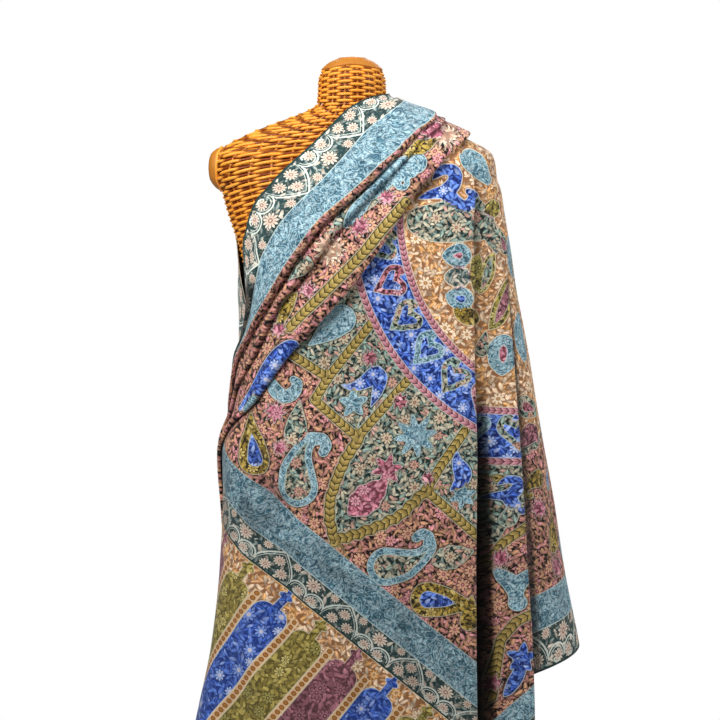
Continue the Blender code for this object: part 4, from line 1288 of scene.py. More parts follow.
        # the scattered flowers, and the border's charted daisies
        local, random, _ = g.voronoi(shaken, self.flower_cell, 0.85)
        first, second, _ = g.parts(random)
        size = (second * 0.35 + 0.75) * self.flower_radius
        inside, petal, out = self._flower(g, g.scaled(local, 1.0 / size), 8.0, first, 0.46)
        is_end = (end_border + outside) < 0.0
        is_last = (last < 0.0) * (long > 0.0)
        rise = TEXTILE.border / (TEXTILE.end_columns - TEXTILE.end_border)
        chart_a = g.between(is_last, g.between(is_end, chart_along, width - 23.5), width)
        chart_b = g.between(is_end, edge, (TEXTILE.end_columns - length) * rise)
        chart_b = g.between(is_last, chart_b, end * (TEXTILE.border / 40.0))
        half = 0.5 * TEXTILE.repeat
        folded = abs(g.math("FLOORED_MODULO", chart_a + half, TEXTILE.repeat) - half)
        daisy_a = g.math("FLOORED_MODULO", chart_a + 34.0, TEXTILE.repeat) - 34.0
        charted = self._flower(g, self._daisy(g, daisy_a, chart_b), 11.0, 0.1, 0.42)
        inside, petal, out = (g.between(in_border, *pair) for pair in zip((inside, petal, out), charted))
        second = g.between(in_border, second, 0.0)
        scatter = (1.0 - in_teal * 1.0) * (1.0 - in_gold * (1.0 - in_motif)) * (1.0 - in_cord)
        scatter = scatter * (1.0 - in_beads)
        on_flower, near_flower = (inside > 0.0) * scatter, (inside > -0.15) * scatter
        petal_colour = g.blend(second > 0.45, shades["petal"], shades["second_petal"])
        petal_colour = g.blend((out < 0.62) * 0.55, petal_colour, shades["second_petal"])
        petal_colour = g.blend((petal < 0.30) * (out > 0.45) * 0.6, petal_colour, shades["ground"])
        petal_colour = g.blend((out < 0.30) * 0.8, petal_colour, shades["centre"])
        petal_colour = g.blend(out < 0.12, petal_colour, shades["petal"])
        colour = g.blend(near_flower, colour, shades["ground"])
        colour = g.blend(on_flower, colour, petal_colour)
        relief = g.between(on_flower, relief * (1.0 - near_flower), 0.9 - petal * 0.2)

        # the chain-stitched cords and lattice bands
        cord_side = g.between(outer < -20.0, abs(outer + half_cord), abs(inner - half_cord))
        cord_phase = g.math("FRACT", (round_ring + cord_side) / self.cord_stitch)
        band_phase = g.math("FRACT", (along + abs(across) * 0.75) / self.band_stitch)
        phase = g.between(in_gold, cord_phase, band_phase)
        side = g.between(in_gold, cord_side, abs(across))
        chain = g.blend(phase, shades["petal"], shades["second_leaf"])
        chain = g.blend((low[0] > 0.3) * 0.45, chain, shades["leaf"])
        chain = g.blend((phase < 0.22) * 0.9, chain, shades["ground"])
        chain = g.blend((side < 0.4) * 0.6, chain, shades["ground"])
        chain = g.blend((side > g.between(in_gold, 3.9, 4.9)) * 0.8, chain, shades["ground"])
        upper = (1.0 - in_motif) * (1.0 - in_end) * (1.0 - in_teal) * (1.0 - in_border)
        chained = g.math("MAXIMUM", in_gold, in_cord) * upper
        colour = g.blend(chained, colour, chain)
        relief = g.between(chained, relief, phase)

        # the scrolls of the blue-green bands and motifs
        curled = g.vector("ADD", place, g.wander(place, 0.10, 14.0))
        crack = g.node("ShaderNodeTexVoronoi", voronoi_dimensions="2D", feature="DISTANCE_TO_EDGE")
        g.put(crack.inputs["Vector"], curled)
        crack.inputs["Scale"].default_value = 1.0 / self.scroll_cell
        crack_gap = Value(g, crack.outputs["Distance"]) * self.scroll_cell
        _, tone, ripple = g.voronoi(curled, self.scroll_cell)
        tone, tilt, _ = g.parts(tone)
        wave = g.math("SINE", ripple * 20.0 + tilt * 6.0)
        contour = g.math("SINE", g.noise(place, 0.06, 1.5) * 58.0)
        scroll = g.blend(tone * 0.9 + 0.05, shades["second_leaf"], shades["leaf"])
        scroll = g.blend((wave > 0.5) * (tone > 0.35) * 0.5, scroll, shades["petal"])
        scroll = g.blend((crack_gap < 0.55) * 0.6, scroll, shades["ground"])
        scroll = g.blend((contour > 0.82) * 0.55, scroll, shades["petal"])
        scroll = g.blend((contour < -0.80) * 0.6, scroll, shades["ground"])
        scroll = g.blend(leaf_mask * (kind > 0.5) * 0.35, scroll, shades["petal"])
        scroll = g.blend(leaf_mask * (depth < 0.34) * 0.5, scroll, shades["ground"])
        scroll = g.scaled(scroll, light * 0.16 + 0.92)
        is_teal = abs(laid.dye - float(Dye.TEAL)) < 0.5
        colour = g.blend(is_teal * (on_flower * -0.4 + 1.0), colour, scroll)

        # beads between the columns, and the border's arches
        step = (g.math("FRACT", down / self.bead) - 0.5) * self.bead
        bead_edge = g.vector("LENGTH", g.joined(step, beads * 0.9)) - self.bead_radius
        bead_colour = g.blend(bead_edge < 0.0, rgb("e0bd94"), rgb("97602a"))
        bead_colour = g.blend((bead_edge < -1.2) * 0.6, bead_colour, rgb("c08d48"))
        colour = g.blend(in_beads, colour, bead_colour)
        arch = self._arch(g, folded, chart_b)
        arch_line = g.math("MAXIMUM", abs(arch) < 1.1, abs(arch + 3.6) < 0.45) * in_border
        selvedge = (chart_b < 2.6) * in_border
        colour = g.blend(arch_line, colour, shades["line"])
        colour = g.blend(selvedge, colour, rgb("21423f"))
        halo = (motif > 0.5) * (motif < 1.9) * (1.0 - in_end) * (1.0 - in_teal) * (1.0 - in_border)
        colour = g.blend(halo * 0.6, colour, shades["ground"])
        colour = g.blend(laid.line * 0.88 * (1.0 - selvedge), colour, shades["line"])
        relief = g.math("MAXIMUM", relief, g.math("MAXIMUM", arch_line, laid.line) * 0.8)

        # threads, a slow drift of the dye, and painted shade: darker towards the hem, on the end's bands, and
        # from the shadow attribute
        thread = g.noise(g.vector("MULTIPLY", place, (0.35, 2.6, 1.0)), 1.0, 2.0)
        weft = g.noise(g.vector("MULTIPLY", place, (2.4, 0.3, 1.0)), 1.0, 2.0)
        drift = g.noise(place, 0.028, 4.0)
        # painted shade: the colour darkens towards the hem, where less light falls
        weight = g.math("MULTIPLY", z - 620.0, 0.0018, clamp=True) * 0.23 + 0.63
        shadow, _, _ = g.attribute("shadow")
        # painted shade: the end's teal and border bands are darkened
        end_band_shade = (abs(length - 0.5 * (TEXTILE.end_teal + TEXTILE.end_columns)) < 40.5) * inside_bands
        shade = (0.34 + thread * 0.42 + weft * 0.38 + drift * 0.58) * weight * (1.0 - end_band_shade * 0.2)
        deep = g.node("ShaderNodeGamma")
        g.put(deep.inputs["Color"], colour)
        deep.inputs["Gamma"].default_value = self.gamma
        # the shadow attribute paints shade into the colour, in hollows, under covering layers and beside fold
        # edges
        colour = g.scaled(Value(g, deep.outputs[0]), shade * (1.12 - shadow * 1.02))
        return g.finish(
            colour,
            0.86 - relief * 0.16,
            relief * 0.5 + thread * 0.35 + weft * 0.3,
            0.55,
            sheen_weight=0.14,
            sheen_roughness=0.5,
            specular_ior_level=0.25,
        )


@dataclass(frozen=True)
class Rattan:
    """Varnished golden rattan, streaked along its strands."""

    name: str
    dark: str = "cf6f14"
    middle: str = "f79e2a"
    light: str = "ffd06a"
    roughness: float = 0.5
    coat: float = 0.08
    # the colour painted as shade where a strand lies behind the others
    gap: str = "7a3406"
    gloss: float = 0.24
    streak: float = 260.0
    woven: bool = False
    strands: bool = False

    def build(self) -> bpy.types.Material:
        """The material, with a woven relief and painted shade in its grooves where the strands aren't built
        one by one.
        """
        g = Graph(self.name)
        place = Value(g, g.node("ShaderNodeTexCoord").outputs["Object"])
        broad = g.noise(place, 34.0, 3.0)
        fine = g.noise(g.vector("MULTIPLY", place, (0.4, 0.4, 3.2)), self.streak, 3.0)
        colour = g.blend(broad, rgb(self.dark), rgb(self.light))
        colour = g.blend(0.45 + fine * 0.3, colour, rgb(self.middle))
        if self.strands:
            # painted shade: strands darken towards the gap colour where they pass behind
            front, _, _ = g.attribute("front")
            colour = g.blend(g.math("MULTIPLY", front - 0.16, 2.6, clamp=True), rgb(self.gap), colour)
        relief: Value = fine * 0.3
        if self.woven:
            x, y, z = g.parts(place)
            turn = g.math("ARCTAN2", y, x) * 28.0
            row = z / 0.0048
            lift = g.math("SINE", turn + g.math("FLOOR", row) * math.pi)
            ridge = abs(g.math("SINE", row * math.pi))
            weave = (lift * 0.5 + 0.5) * ridge
            # painted shade: the weave's grooves are darkened
            colour = g.blend(g.math("POWER", weave, 0.7, clamp=True), rgb("662806"), colour)
            relief = relief + weave * 2.4
        return g.finish(
            colour, self.roughness, relief, 0.6, coat_weight=self.coat, specular_ior_level=self.gloss
        )


@dataclass(frozen=True)
class StainedWood:
    """Dark satin wood with a soft grain."""

    name: str = "stained_wood"

    def build(self) -> bpy.types.Material:
        """The material."""
        g = Graph(self.name)
        place = Value(g, g.node("ShaderNodeTexCoord").outputs["Object"])
        grain = g.noise(g.vector("MULTIPLY", place, (9.0, 1.0, 1.0)), 26.0, 5.0, 0.8)
        pores = g.noise(g.vector("MULTIPLY", place, (30.0, 3.0, 3.0)), 60.0, 2.0)
        colour = g.blend(grain, rgb("2c150b"), rgb("6a3a1f"))
        colour = g.blend((pores < 0.42) * 0.4, colour, rgb("1d0d06"))
        return g.finish(colour, 0.34 + grain * 0.12, pores, 0.15, coat_weight=0.2, coat_roughness=0.2)


# ---------------------------------------------------------------- the cloth's pieces


@dataclass(frozen=True)
class Sheet:
    """A stretch of cloth as rows of points: its inner side, and where each lies on the flat cloth."""

    angle: Array
    height: Array
    offset: Array
    plane: ClothPlane

    def points(self) -> tuple[Array, Array]:
        """The inner and outer sides' points in metres."""
        inner = DRAPE.raised(self.angle, self.height, self.offset)
        along, across = np.gradient(inner, axis=0), np.gradient(inner, axis=1)
        normal = np.cross(along, across)
        normal /= np.maximum(np.linalg.norm(normal, axis=-1, keepdims=True), 1e-9)
        middle = tuple(n // 2 for n in inner.shape[:2])
        if np.dot(normal[middle][:2], inner[middle][:2]) < 0:
            normal = -normal
        return inner * MM, (inner + normal * WALL) * MM


class Room(NamedTuple):
    """A rectangle of the bake map: its corner and size, where the whole map is 1 across."""

    u: float
    v: float
    across: float
    up: float

    def fill(self, u: Array, v: Array) -> Array:
        """Where shares across and up the rectangle lie."""
        return np.stack([self.u + self.across * u, self.v + self.up * v], -1)


OUTER_ROOM = Room(0.004, 0.150, 0.992, 0.846)
INNER_ROOM = Room(0.004, 0.004, 0.992, 0.118)
RIM_LOW, RIM_HIGH = 0.130, 0.142


class ClothMaker:
    """Makes closed thin shells from sheets, with their pattern's attributes and flat maps."""

    def __init__(self, material: bpy.types.Material) -> None:
        """Holds the finish."""
        self.material = material

    def shell(self, name: str, sheet: Sheet) -> bpy.types.Object:
        """One piece of cloth, whose inner side has half the outer side's rows and columns.

        Args:
            name: The piece's name.
            sheet: Its points, an even number of steps each way.

        Returns:
            The finished object.
        """
        inner, outer = sheet.points()
        low = inner[::2, ::2]
        index = np.arange(outer[..., 0].size).reshape(outer.shape[:2])
        low_index = np.arange(low[..., 0].size).reshape(low.shape[:2]) + index.size
        spots = outer.reshape(-1, 3)
        quads = self._quads(index)
        middle = spots[quads[len(quads) // 2 + outer.shape[1] // 2]]
        turned = np.dot(np.cross(middle[1] - middle[0], middle[3] - middle[0])[:2], middle[0][:2]) < 0
        ring, low_ring = self._ring(index), self._ring(low_index)
        after = np.roll(ring, -2)[::2]
        rim = np.stack([ring[::2], ring[1::2], after, np.roll(low_ring, -1), low_ring], -1)
        groups = [quads, self._quads(low_index)[:, ::-1], rim]
        if turned:
            groups = [group[:, ::-1] for group in groups]
        sizes = np.concatenate([np.full(len(group), group.shape[1]) for group in groups])
        corners = np.concatenate([group.ravel() for group in groups])
        mesh = bpy.data.meshes.new(name)
        vertices = np.concatenate([spots, low.reshape(-1, 3)])
        mesh.vertices.add(len(vertices))
        mesh.vertices.foreach_set("co", vertices.astype(np.float32).ravel())
        mesh.loops.add(len(corners))
        mesh.loops.foreach_set("vertex_index", corners.astype(np.int32))
        mesh.polygons.add(len(sizes))
        mesh.polygons.foreach_set("loop_start", (np.cumsum(sizes) - sizes).astype(np.int32))
        mesh.update(calc_edges=True)
        mesh.shade_smooth()
        self._maps(mesh, sheet, corners, [group.shape for group in groups], turned)
        for key, values in TEXTILE.measure(sheet.plane).items():
            data = mesh.attributes.new(key, "FLOAT_VECTOR", "POINT")
            both = np.concatenate([values.reshape(-1, 3), values[::2, ::2].reshape(-1, 3)])
            data.data.foreach_set("vector", both.astype(np.float32).ravel())
        mesh.materials.append(self.material)
        return placed(name, mesh)

    @staticmethod
    def _quads(index: Array) -> Array:
        """The four corners of each cell of a grid."""
        return np.stack([index[:-1, :-1], index[1:, :-1], index[1:, 1:], index[:-1, 1:]], -1).reshape(-1, 4)

    @staticmethod
    def _ring(index: Array) -> Array:
        """The points round a grid's edge."""
        return np.concatenate([index[0, :], index[1:, -1], index[-1, -2::-1], index[-2:0:-1, 0]])

    @staticmethod
    def _maps(
        mesh: bpy.types.Mesh, sheet: Sheet, corners: Array, shapes: list[tuple[int, int]], turned: bool
    ) -> None:
        """The flat map in metres, and a map that gives the outer side most of the room."""
        plane = sheet.plane
        length, width = TEXTILE.flat(plane.x, plane.z) if plane.laid_out else (plane.along, plane.edge)
        if plane.drawing.motifs and not plane.laid_out:
            length, width = TEXTILE.flat(plane.x, plane.z)
        flat = np.stack([length + 0.0 * plane.z, width + 0.0 * plane.z], -1) * MM
        flat = np.concatenate([flat.reshape(-1, 2), flat[::2, ::2].reshape(-1, 2)])
        rows, columns = plane.z.shape
        v, u = np.meshgrid(np.linspace(0, 1, rows), np.linspace(0, 1, columns), indexing="ij")
        room = OUTER_ROOM.fill(u, v).reshape(-1, 2)
        behind = INNER_ROOM.fill(u, v)[::2, ::2].reshape(-1, 2)
        loops = np.concatenate([room, behind])[corners]
        count, size = shapes[-1]
        start = np.linspace(OUTER_ROOM.u, OUTER_ROOM.u + OUTER_ROOM.across, count + 1)
        left, right = start[:-1], start[1:]
        across = (left, 0.5 * (left + right), right, right, left)
        levels = (RIM_LOW, RIM_LOW, RIM_LOW, RIM_HIGH, RIM_HIGH)
        sides = [np.stack([side, np.full(count, level)], -1) for side, level in zip(across, levels)]
        rim = np.stack(sides, 1)
        loops[-count * size :] = (rim[:, ::-1] if turned else rim).reshape(-1, 2)
        mesh.uv_layers.new(name="Flat").data.foreach_set("uv", flat[corners].astype(np.float32).ravel())
        mesh.uv_layers.new(name="OFBake").data.foreach_set("uv", loops.astype(np.float32).ravel())


class Crease(NamedTuple):
    """A soft ridge, or a trough where the depth is negative, along a line on the cloth."""

    x0: float
    z0: float
    x1: float
    z1: float
    width: float
    depth: float


def creased(creases: Sequence[Crease], x: Array, z: Array) -> Array:
    """How far creases move the cloth out."""
    total = np.zeros(x.shape)
    for c in creases:
        dx, dz = c.x1 - c.x0, c.z1 - c.z0
        t = ((x - c.x0) * dx + (z - c.z0) * dz) / (dx * dx + dz * dz)
        side = ((x - c.x0) * dz - (z - c.z0) * dx) / math.hypot(dx, dz)
        bend = 0.10 * math.hypot(dx, dz) * np.sin(math.pi * t) * (1 if c.depth > 0 else -1)
        taper = smooth_step(t / 0.3) * smooth_step((1.0 - t) / 0.3)
        total += c.depth * taper * hump(side - bend, c.width)
    return total


RELIEF = (
    (-1.00, 6.0, 5.0, 5.0),
    (-0.75, 4.0, 4.0, 4.0),
    (-0.52, 4.0, 2.6, 3.0),
    (-0.30, 10.0, 6.0, 8.0),
    (-0.18, 11.0, 6.0, 9.0),
    (-0.08, 4.0, 2.4, 4.0),
    (0.00, 1.6, 1.2, 2.0),
    (0.12, 3.0, 2.0, 3.0),
    (0.40, 8.0, 5.0, 7.0),
    (0.75, 4.0, 2.0, 3.0),
    (0.86, 1.2, 1.2, 1.2),
    (1.00, 1.2, 1.2, 1.2),
)


@dataclass
class DiagonalPleats:
    """The strips that run from the shoulder down to the left side, in front and behind."""

    maker: ClothMaker
    rows: int = 560
    curl_steps: int = 8
    front_end: float = -0.62
    back_end: float = 0.2
    band: float = 86.0

    def __post_init__(self) -> None:
        """Makes the curves of the folds' reliefs."""
        self.relief = [curve_through([r[0] for r in RELIEF], [r[k] for r in RELIEF]) for k in (1, 2, 3)]

    def _section(self, f: float, layer: int, steps: int) -> tuple[Array, Array, Array, Array, Array]:
        """One row across a strip: angles, heights, offsets, distances and shares of the width."""
        lines = FOLDS.across(f)
        at = lines[2]
        lower, upper = at[4 - layer], at[3 - layer]
        shown = lower - upper
        relief = float(self.relief[layer - 1](f))
        lead = min(7.0, 0.5 * shown)
        if layer == 3:
            distance = np.linspace(0.0, lower, steps)
        else:
            relief = max(1.0, min(relief, 0.4 * shown))
            start = max(upper - HIDDEN, 0.62 * upper)
            distance = np.concatenate(
                [np.linspace(start, upper + lead, 5)[:-1], np.linspace(upper + lead, lower, steps - 4)]
            )
        angle, height = FOLDS.place(lines, distance)
        lift = side_lift(angle, height) if f < 0 else 0.0 * angle
        floor = layer_floor(layer, angle, height) + lift
        if layer == 3:
            covered = smooth_step(distance / max(shown - HIDDEN - 16.0, 0.4 * shown))
            gathered = 0.7 * float(smooth_step((-0.40 - f) / 0.08))
            bare = 0.3 + lift + gathered * (floor - lift)
            offset = bare + (floor - bare) * covered
            rise = smooth_step((distance - upper - 0.55 * shown) / (0.42 * shown))
            share = distance / lower
            run = smooth_step((abs(f) - 0.03) / 0.08) * smooth_step((0.62 - abs(f)) / 0.2)
            furrow = hump(share - 0.60 - 0.05 * math.sin(23 * f), 0.055)
            swell = hump(share - 0.36 - 0.04 * math.sin(17 * f + 1), 0.10)
            low = hump(share - 0.80 + 0.04 * math.sin(31 * f), 0.05)
            offset = offset + run * covered * (
                2.2 * swell
                - 2.2 * furrow * (0.6 + 0.4 * math.sin(29 * f))
                - 1.6 * low * (0.5 + 0.5 * math.sin(19 * f))
            )
        else:
            offset = floor
            rise = smooth_step((distance - upper - lead) / (shown - lead))
            share = (distance - upper) / shown
            wave = math.sin(27 * f + layer) * 0.5 + math.sin(53 * f) * 0.25
            offset = offset + 0.8 * wave * hump(share - 0.45, 0.25) * smooth_step(shown / 20 - 1)
        offset = offset + relief * rise
        angle_low, height_low = FOLDS.place(lines, np.array([lower]))
        lift_low = side_lift(angle_low, height_low) if f < 0 else 0.0
        top = float((layer_floor(layer, angle_low, height_low) + lift_low)[0]) + relief
        radius = float(curl_radius(relief))
        turns = CURL_TURN * np.arange(1, self.curl_steps + 1) / self.curl_steps
        more = lower + radius * np.sin(turns)
        curl_angle, curl_height = FOLDS.place(lines, more)
        return (
            np.concatenate([angle, curl_angle]),
            np.concatenate([height, curl_height]),
            np.concatenate([offset, top - radius * (1.0 - np.cos(turns))]),
            np.concatenate([distance, lower + radius * turns]),
            np.full(len(distance) + len(turns), lower),
        )

    def _strip(self, name: str, layer: int, steps: int) -> bpy.types.Object:
        """One strip."""
        hidden, behind = self.rows // 7, self.rows // 4
        shown = self.rows - hidden - behind
        places = np.concatenate(
            [
                np.linspace(-1.0, self.front_end, hidden + 1)[:-1],
                np.linspace(self.front_end, self.back_end, shown + 1),
                np.linspace(self.back_end, 1.0, behind + 1)[1:],
            ]
        )
        rows = [self._section(float(f), layer, steps) for f in places]
        angle, height, offset, distance, lower = (np.array(column) for column in zip(*rows))
        inner = DRAPE.at(angle, height)
        middle = inner[:, inner.shape[1] // 3]
        run = np.concatenate([[0.0], np.cumsum(np.linalg.norm(np.diff(middle, axis=0), axis=1))])
        run = run - np.interp(0.0, places, run)
        x = ARC.at(-np.abs(angle), height)
        far = np.full(x.shape, 300.0)
        if layer == 3:
            edge, along = distance * self.band / lower, np.abs(run)[:, None] + 14.0
            # Painted shade: the top border's tail is darkened low on the left flank, in front.
            dark = 0.95 * smooth_step((1262.0 - height) / 22.0) * (1.0 - smooth_step((edge - 44.0) / 4.0))
            plane = ClothPlane(x, height, x, edge, along, far, 1.0, PLAIN, False, dark * (angle < 0))
        else:
            plane = ClothPlane(x, height, x, far, far, far, 1.0, PLEAT_DRAWING, False)
        return self.maker.shell(name, Sheet(angle, height, offset, plane))

    def build(self) -> dict[str, bpy.types.Object]:
        """The three strips, by the node that each stands for."""
        return {
            "shawl_top_border": self._strip("top_border", 3, 41),
            "shawl_pleat_1": self._strip("pleat_one", 2, 17),
            "shawl_pleat_2": self._strip("pleat_two", 1, 31),
        }


class Upright(NamedTuple):
    """A point of an upright fold: its height, x and how far it stands out."""

    height: float
    x: float
    relief: float


class Hem(NamedTuple):
    """The hem's height at an angle in degrees."""

    angle: float
    height: float


FRONT_FOLD = (
    Upright(1434, 131, 1.2),
    Upright(1415, 143, 1.4),
    Upright(1393, 154, 2.0),
    Upright(1366, 156, 4.0),
    Upright(1300, 151, 7.0),
    Upright(1100, 150.5, 15.0),
    Upright(900, 150.5, 20.0),
    Upright(480, 149, 24.0),
)
SIDE_FOLD = (
    Upright(1443, 140, 1.6),
    Upright(1425, 160, 1.6),
    Upright(1398, 179, 1.3),
    Upright(1360, 190.5, 1.6),
    Upright(1320, 196.5, 2.5),
    Upright(1240, 199.5, 5.0),
    Upright(1134, 205.5, 8.0),
    Upright(1026, 212.5, 9.5),
    Upright(898, 219.5, 11.0),
    Upright(731, 228.5, 12.0),
    Upright(560, 229, 12.0),
)
RECESS = 57.0
RECESS_TOP, RECESS_FALL = 1140.0, 240.0
FRONT_HEM = (
    Hem(-225, 650), Hem(-199, 575), Hem(-180, 509), Hem(-138, 456), Hem(-116, 399), Hem(-97, 348),
    Hem(-70, 408), Hem(-53, 455), Hem(-42, 491), Hem(-30, 520),
)
SIDE_HEM = (Hem(-60, 545), Hem(-38, 580), Hem(-25, 636), Hem(-10, 660))
OUTER_HEM = (Hem(-40, 700), Hem(-23, 731), Hem(-4, 762), Hem(0, 768), Hem(4, 762), Hem(23, 731), Hem(50, 690))
BACK_HEM = (
    Hem(30, 540), Hem(42, 510), Hem(70, 426), Hem(97, 364), Hem(116, 415), Hem(138, 472), Hem(180, 540),
    Hem(200, 560),
)
FRONT_CREASES = (
    Crease(-150, 1060, -96, 700, 16, -7.0),
    Crease(-120, 1020, -60, 560, 20, 5.0),
    Crease(-40, 1000, -10, 600, 26, -7.0),
    Crease(36, 1120, 60, 640, 24, 5.0),
    Crease(88, 1010, 104, 560, 18, -6.0),
    Crease(-156, 984, -64, 930, 11, -7.5),
    Crease(-146, 952, -52, 900, 9, 5.0),
    Crease(-160, 1080, -112, 900, 11, -4.0),
    Crease(-36, 866, 12, 838, 9, -3.0),
    Crease(-20, 880, 30, 850, 8, 2.2),
    Crease(60, 800, 130, 742, 11, -3.0),
    Crease(-60, 1180, 20, 1090, 14, -1.8),
    Crease(0, 1250, 90, 1120, 16, 1.8),
    Crease(100, 1340, 150, 1130, 14, -1.6),
    Crease(120, 1270, 130, 960, 12, 2.2),
    Crease(20, 1020, 120, 900, 15, -2.2),
)
# Patches of painted shade on the front: each depth is how much darker the colour is painted there, not a
# relief.
FRONT_PAINTED_SHADE = (
    Crease(-152, 976, -92, 916, 15, 0.52),
    Crease(-176, 1030, -150, 880, 9, 0.35),
    Crease(-60, 905, 30, 832, 9, 0.26),
    Crease(-58, 720, -24, 540, 16, 0.24),
    Crease(96, 1010, 108, 640, 12, 0.24),
)
BACK_CREASES = (
    Crease(-140, 1000, -90, 640, 18, -7.0),
    Crease(-86, 1060, -52, 600, 20, 5.5),
    Crease(-14, 1080, 10, 560, 24, -7.0),
    Crease(52, 1150, 70, 620, 22, 5.5),
    Crease(104, 1000, 112, 580, 16, -5.5),
    Crease(-110, 900, -50, 860, 10, -3.0),
    Crease(20, 820, 80, 776, 10, -3.0),
    Crease(-30, 1180, 60, 1080, 16, 1.6),
)
SIDE_CREASES = (
    Crease(180, 1400, 184, 900, 6, -4.0),
    Crease(193, 1380, 205, 760, 7, 3.0),
    Crease(206, 1300, 216, 700, 5, -3.0),
)
OUTER_CREASES = (
    Crease(214, 1380, 236, 900, 8, -3.0),
    Crease(240, 1250, 262, 800, 12, -3.4),
    Crease(330, 1300, 352, 780, 16, -4.0),
    Crease(400, 1230, 420, 760, 15, 3.2),
    Crease(470, 1260, 486, 790, 16, -3.6),
    Crease(290, 1180, 306, 760, 10, 2.6),
)


def upright_line(points: Sequence[Upright]) -> tuple[Curve, Curve]:
    """Angle and relief of an upright fold as functions of height."""
    heights = [p.height for p in points]
    angles = [DRAPE.front_angle(p.x, p.height) for p in points]
    return curve_through(heights, angles), curve_through(heights, [p.relief for p in points])


def by_angle(points: Sequence[Hem]) -> Curve:
    """The hem's height as a function of the angle."""
    angles = [math.radians(p.angle) for p in points]
    heights = [p.height for p in points]
    return lambda angle: np.interp(angle, angles, heights)


def hidden_top(side: int) -> Curve:
    """Height, by angle, of a panel's top edge, which lies under the lowest fold."""
    pairs = []
    for f in np.linspace(0.0, 1.0, 240):
        lines = FOLDS.across(side * f)
        low = lines[2][3] - min(HIDDEN, 0.3 * lines[2][3])
        angle, height = FOLDS.place(lines, np.array([low]))
        pairs.append((abs(float(angle[0])), float(height[0])))
    angles, heights = np.array(pairs).T
    rising = np.maximum.accumulate(angles)
    keep = np.concatenate([[True], np.diff(rising) > 1e-4])
    return lambda angle: np.interp(np.abs(angle), rising[keep], heights[keep])


@dataclass(frozen=True)
class PanelShape:
    """A hanging panel between two upright lines."""

    left: Curve
    right: Curve
    top: Curve
    hem: Curve
    columns: int
    rows: int
    offset: Callable[[float, Array, Array], Array]
    relief: Curve | None = None
    direction: int = 1
    curl_steps: int = 8
    search: tuple[float, float] = (300.0, 1500.0)

    def _column(self, share: float) -> tuple[Array, Array]:
        """Angles and heights down one column."""

        def angle_at(height: float) -> float:
            low, high = float(self.left(height)), float(self.right(height))
            return low + (high - low) * share

        low, high = self.search
        for _ in range(40):
            middle = 0.5 * (low + high)
            if middle > self.top(angle_at(middle)):
                high = middle
            else:
                low = middle
        end = low
        for _ in range(24):
            end = float(self.hem(angle_at(end)))
        heights = low + (end - low) * np.linspace(0.0, 1.0, self.rows + 1) ** 1.12
        left, right = self.left(heights), self.right(heights)
        return left + (right - left) * share, heights

    def grid(self) -> tuple[Array, Array, Array]:
        """Angles, heights and offsets of the whole panel, the turned edge included."""
        found = []
        for i in range(self.columns + 1):
            share = i / self.columns
            angles, heights = self._column(share)
            found.append((angles, heights, self.offset(share, angles, heights)))
        if self.relief:
            angles, heights, out = found[-1]
            radius = curl_radius(self.relief(heights))
            reach = np.linalg.norm(DRAPE.at(angles, heights)[:, :2], axis=1)
            for i in range(1, self.curl_steps + 1):
                turn = CURL_TURN * i / self.curl_steps
                step = self.direction * radius * math.sin(turn) / reach
                found.append((angles + step, heights, out - radius * (1.0 - math.cos(turn))))
        table = np.array(found)
        return table[:, 0], table[:, 1], table[:, 2]


class Panel(Enum):
    """How each hanging panel is cut from the cloth.

    A panel has its name, how much cloth lies hidden before it, 1 if the medallion's ring shows, how
    much its height over the hem is shortened, the height of the hem's lowest corner, and its drawing.
    """

    FRONT = ("front_panel", 0.0, 1.0, 1.0, 348.0, FRONT_DRAWING)
    SIDE = ("side_pleat", 108.0, 1.0, 1.05, 0.0, SIDE_DRAWING)
    OUTER = ("outer_fall", 196.0, 0.0, 0.87, 0.0, OUTER_DRAWING)
    BACK = ("back_panel", 0.0, 1.0, 1.0, 364.0, FRONT_DRAWING)

    def __init__(
        self, title: str, shift: float, ring: float, lean: float, hem_line: float, drawing: Drawing
    ) -> None:
        """Names the parts of the value."""
        self.title, self.shift, self.ring = title, shift, ring
        self.lean, self.hem_line, self.drawing = lean, hem_line, drawing


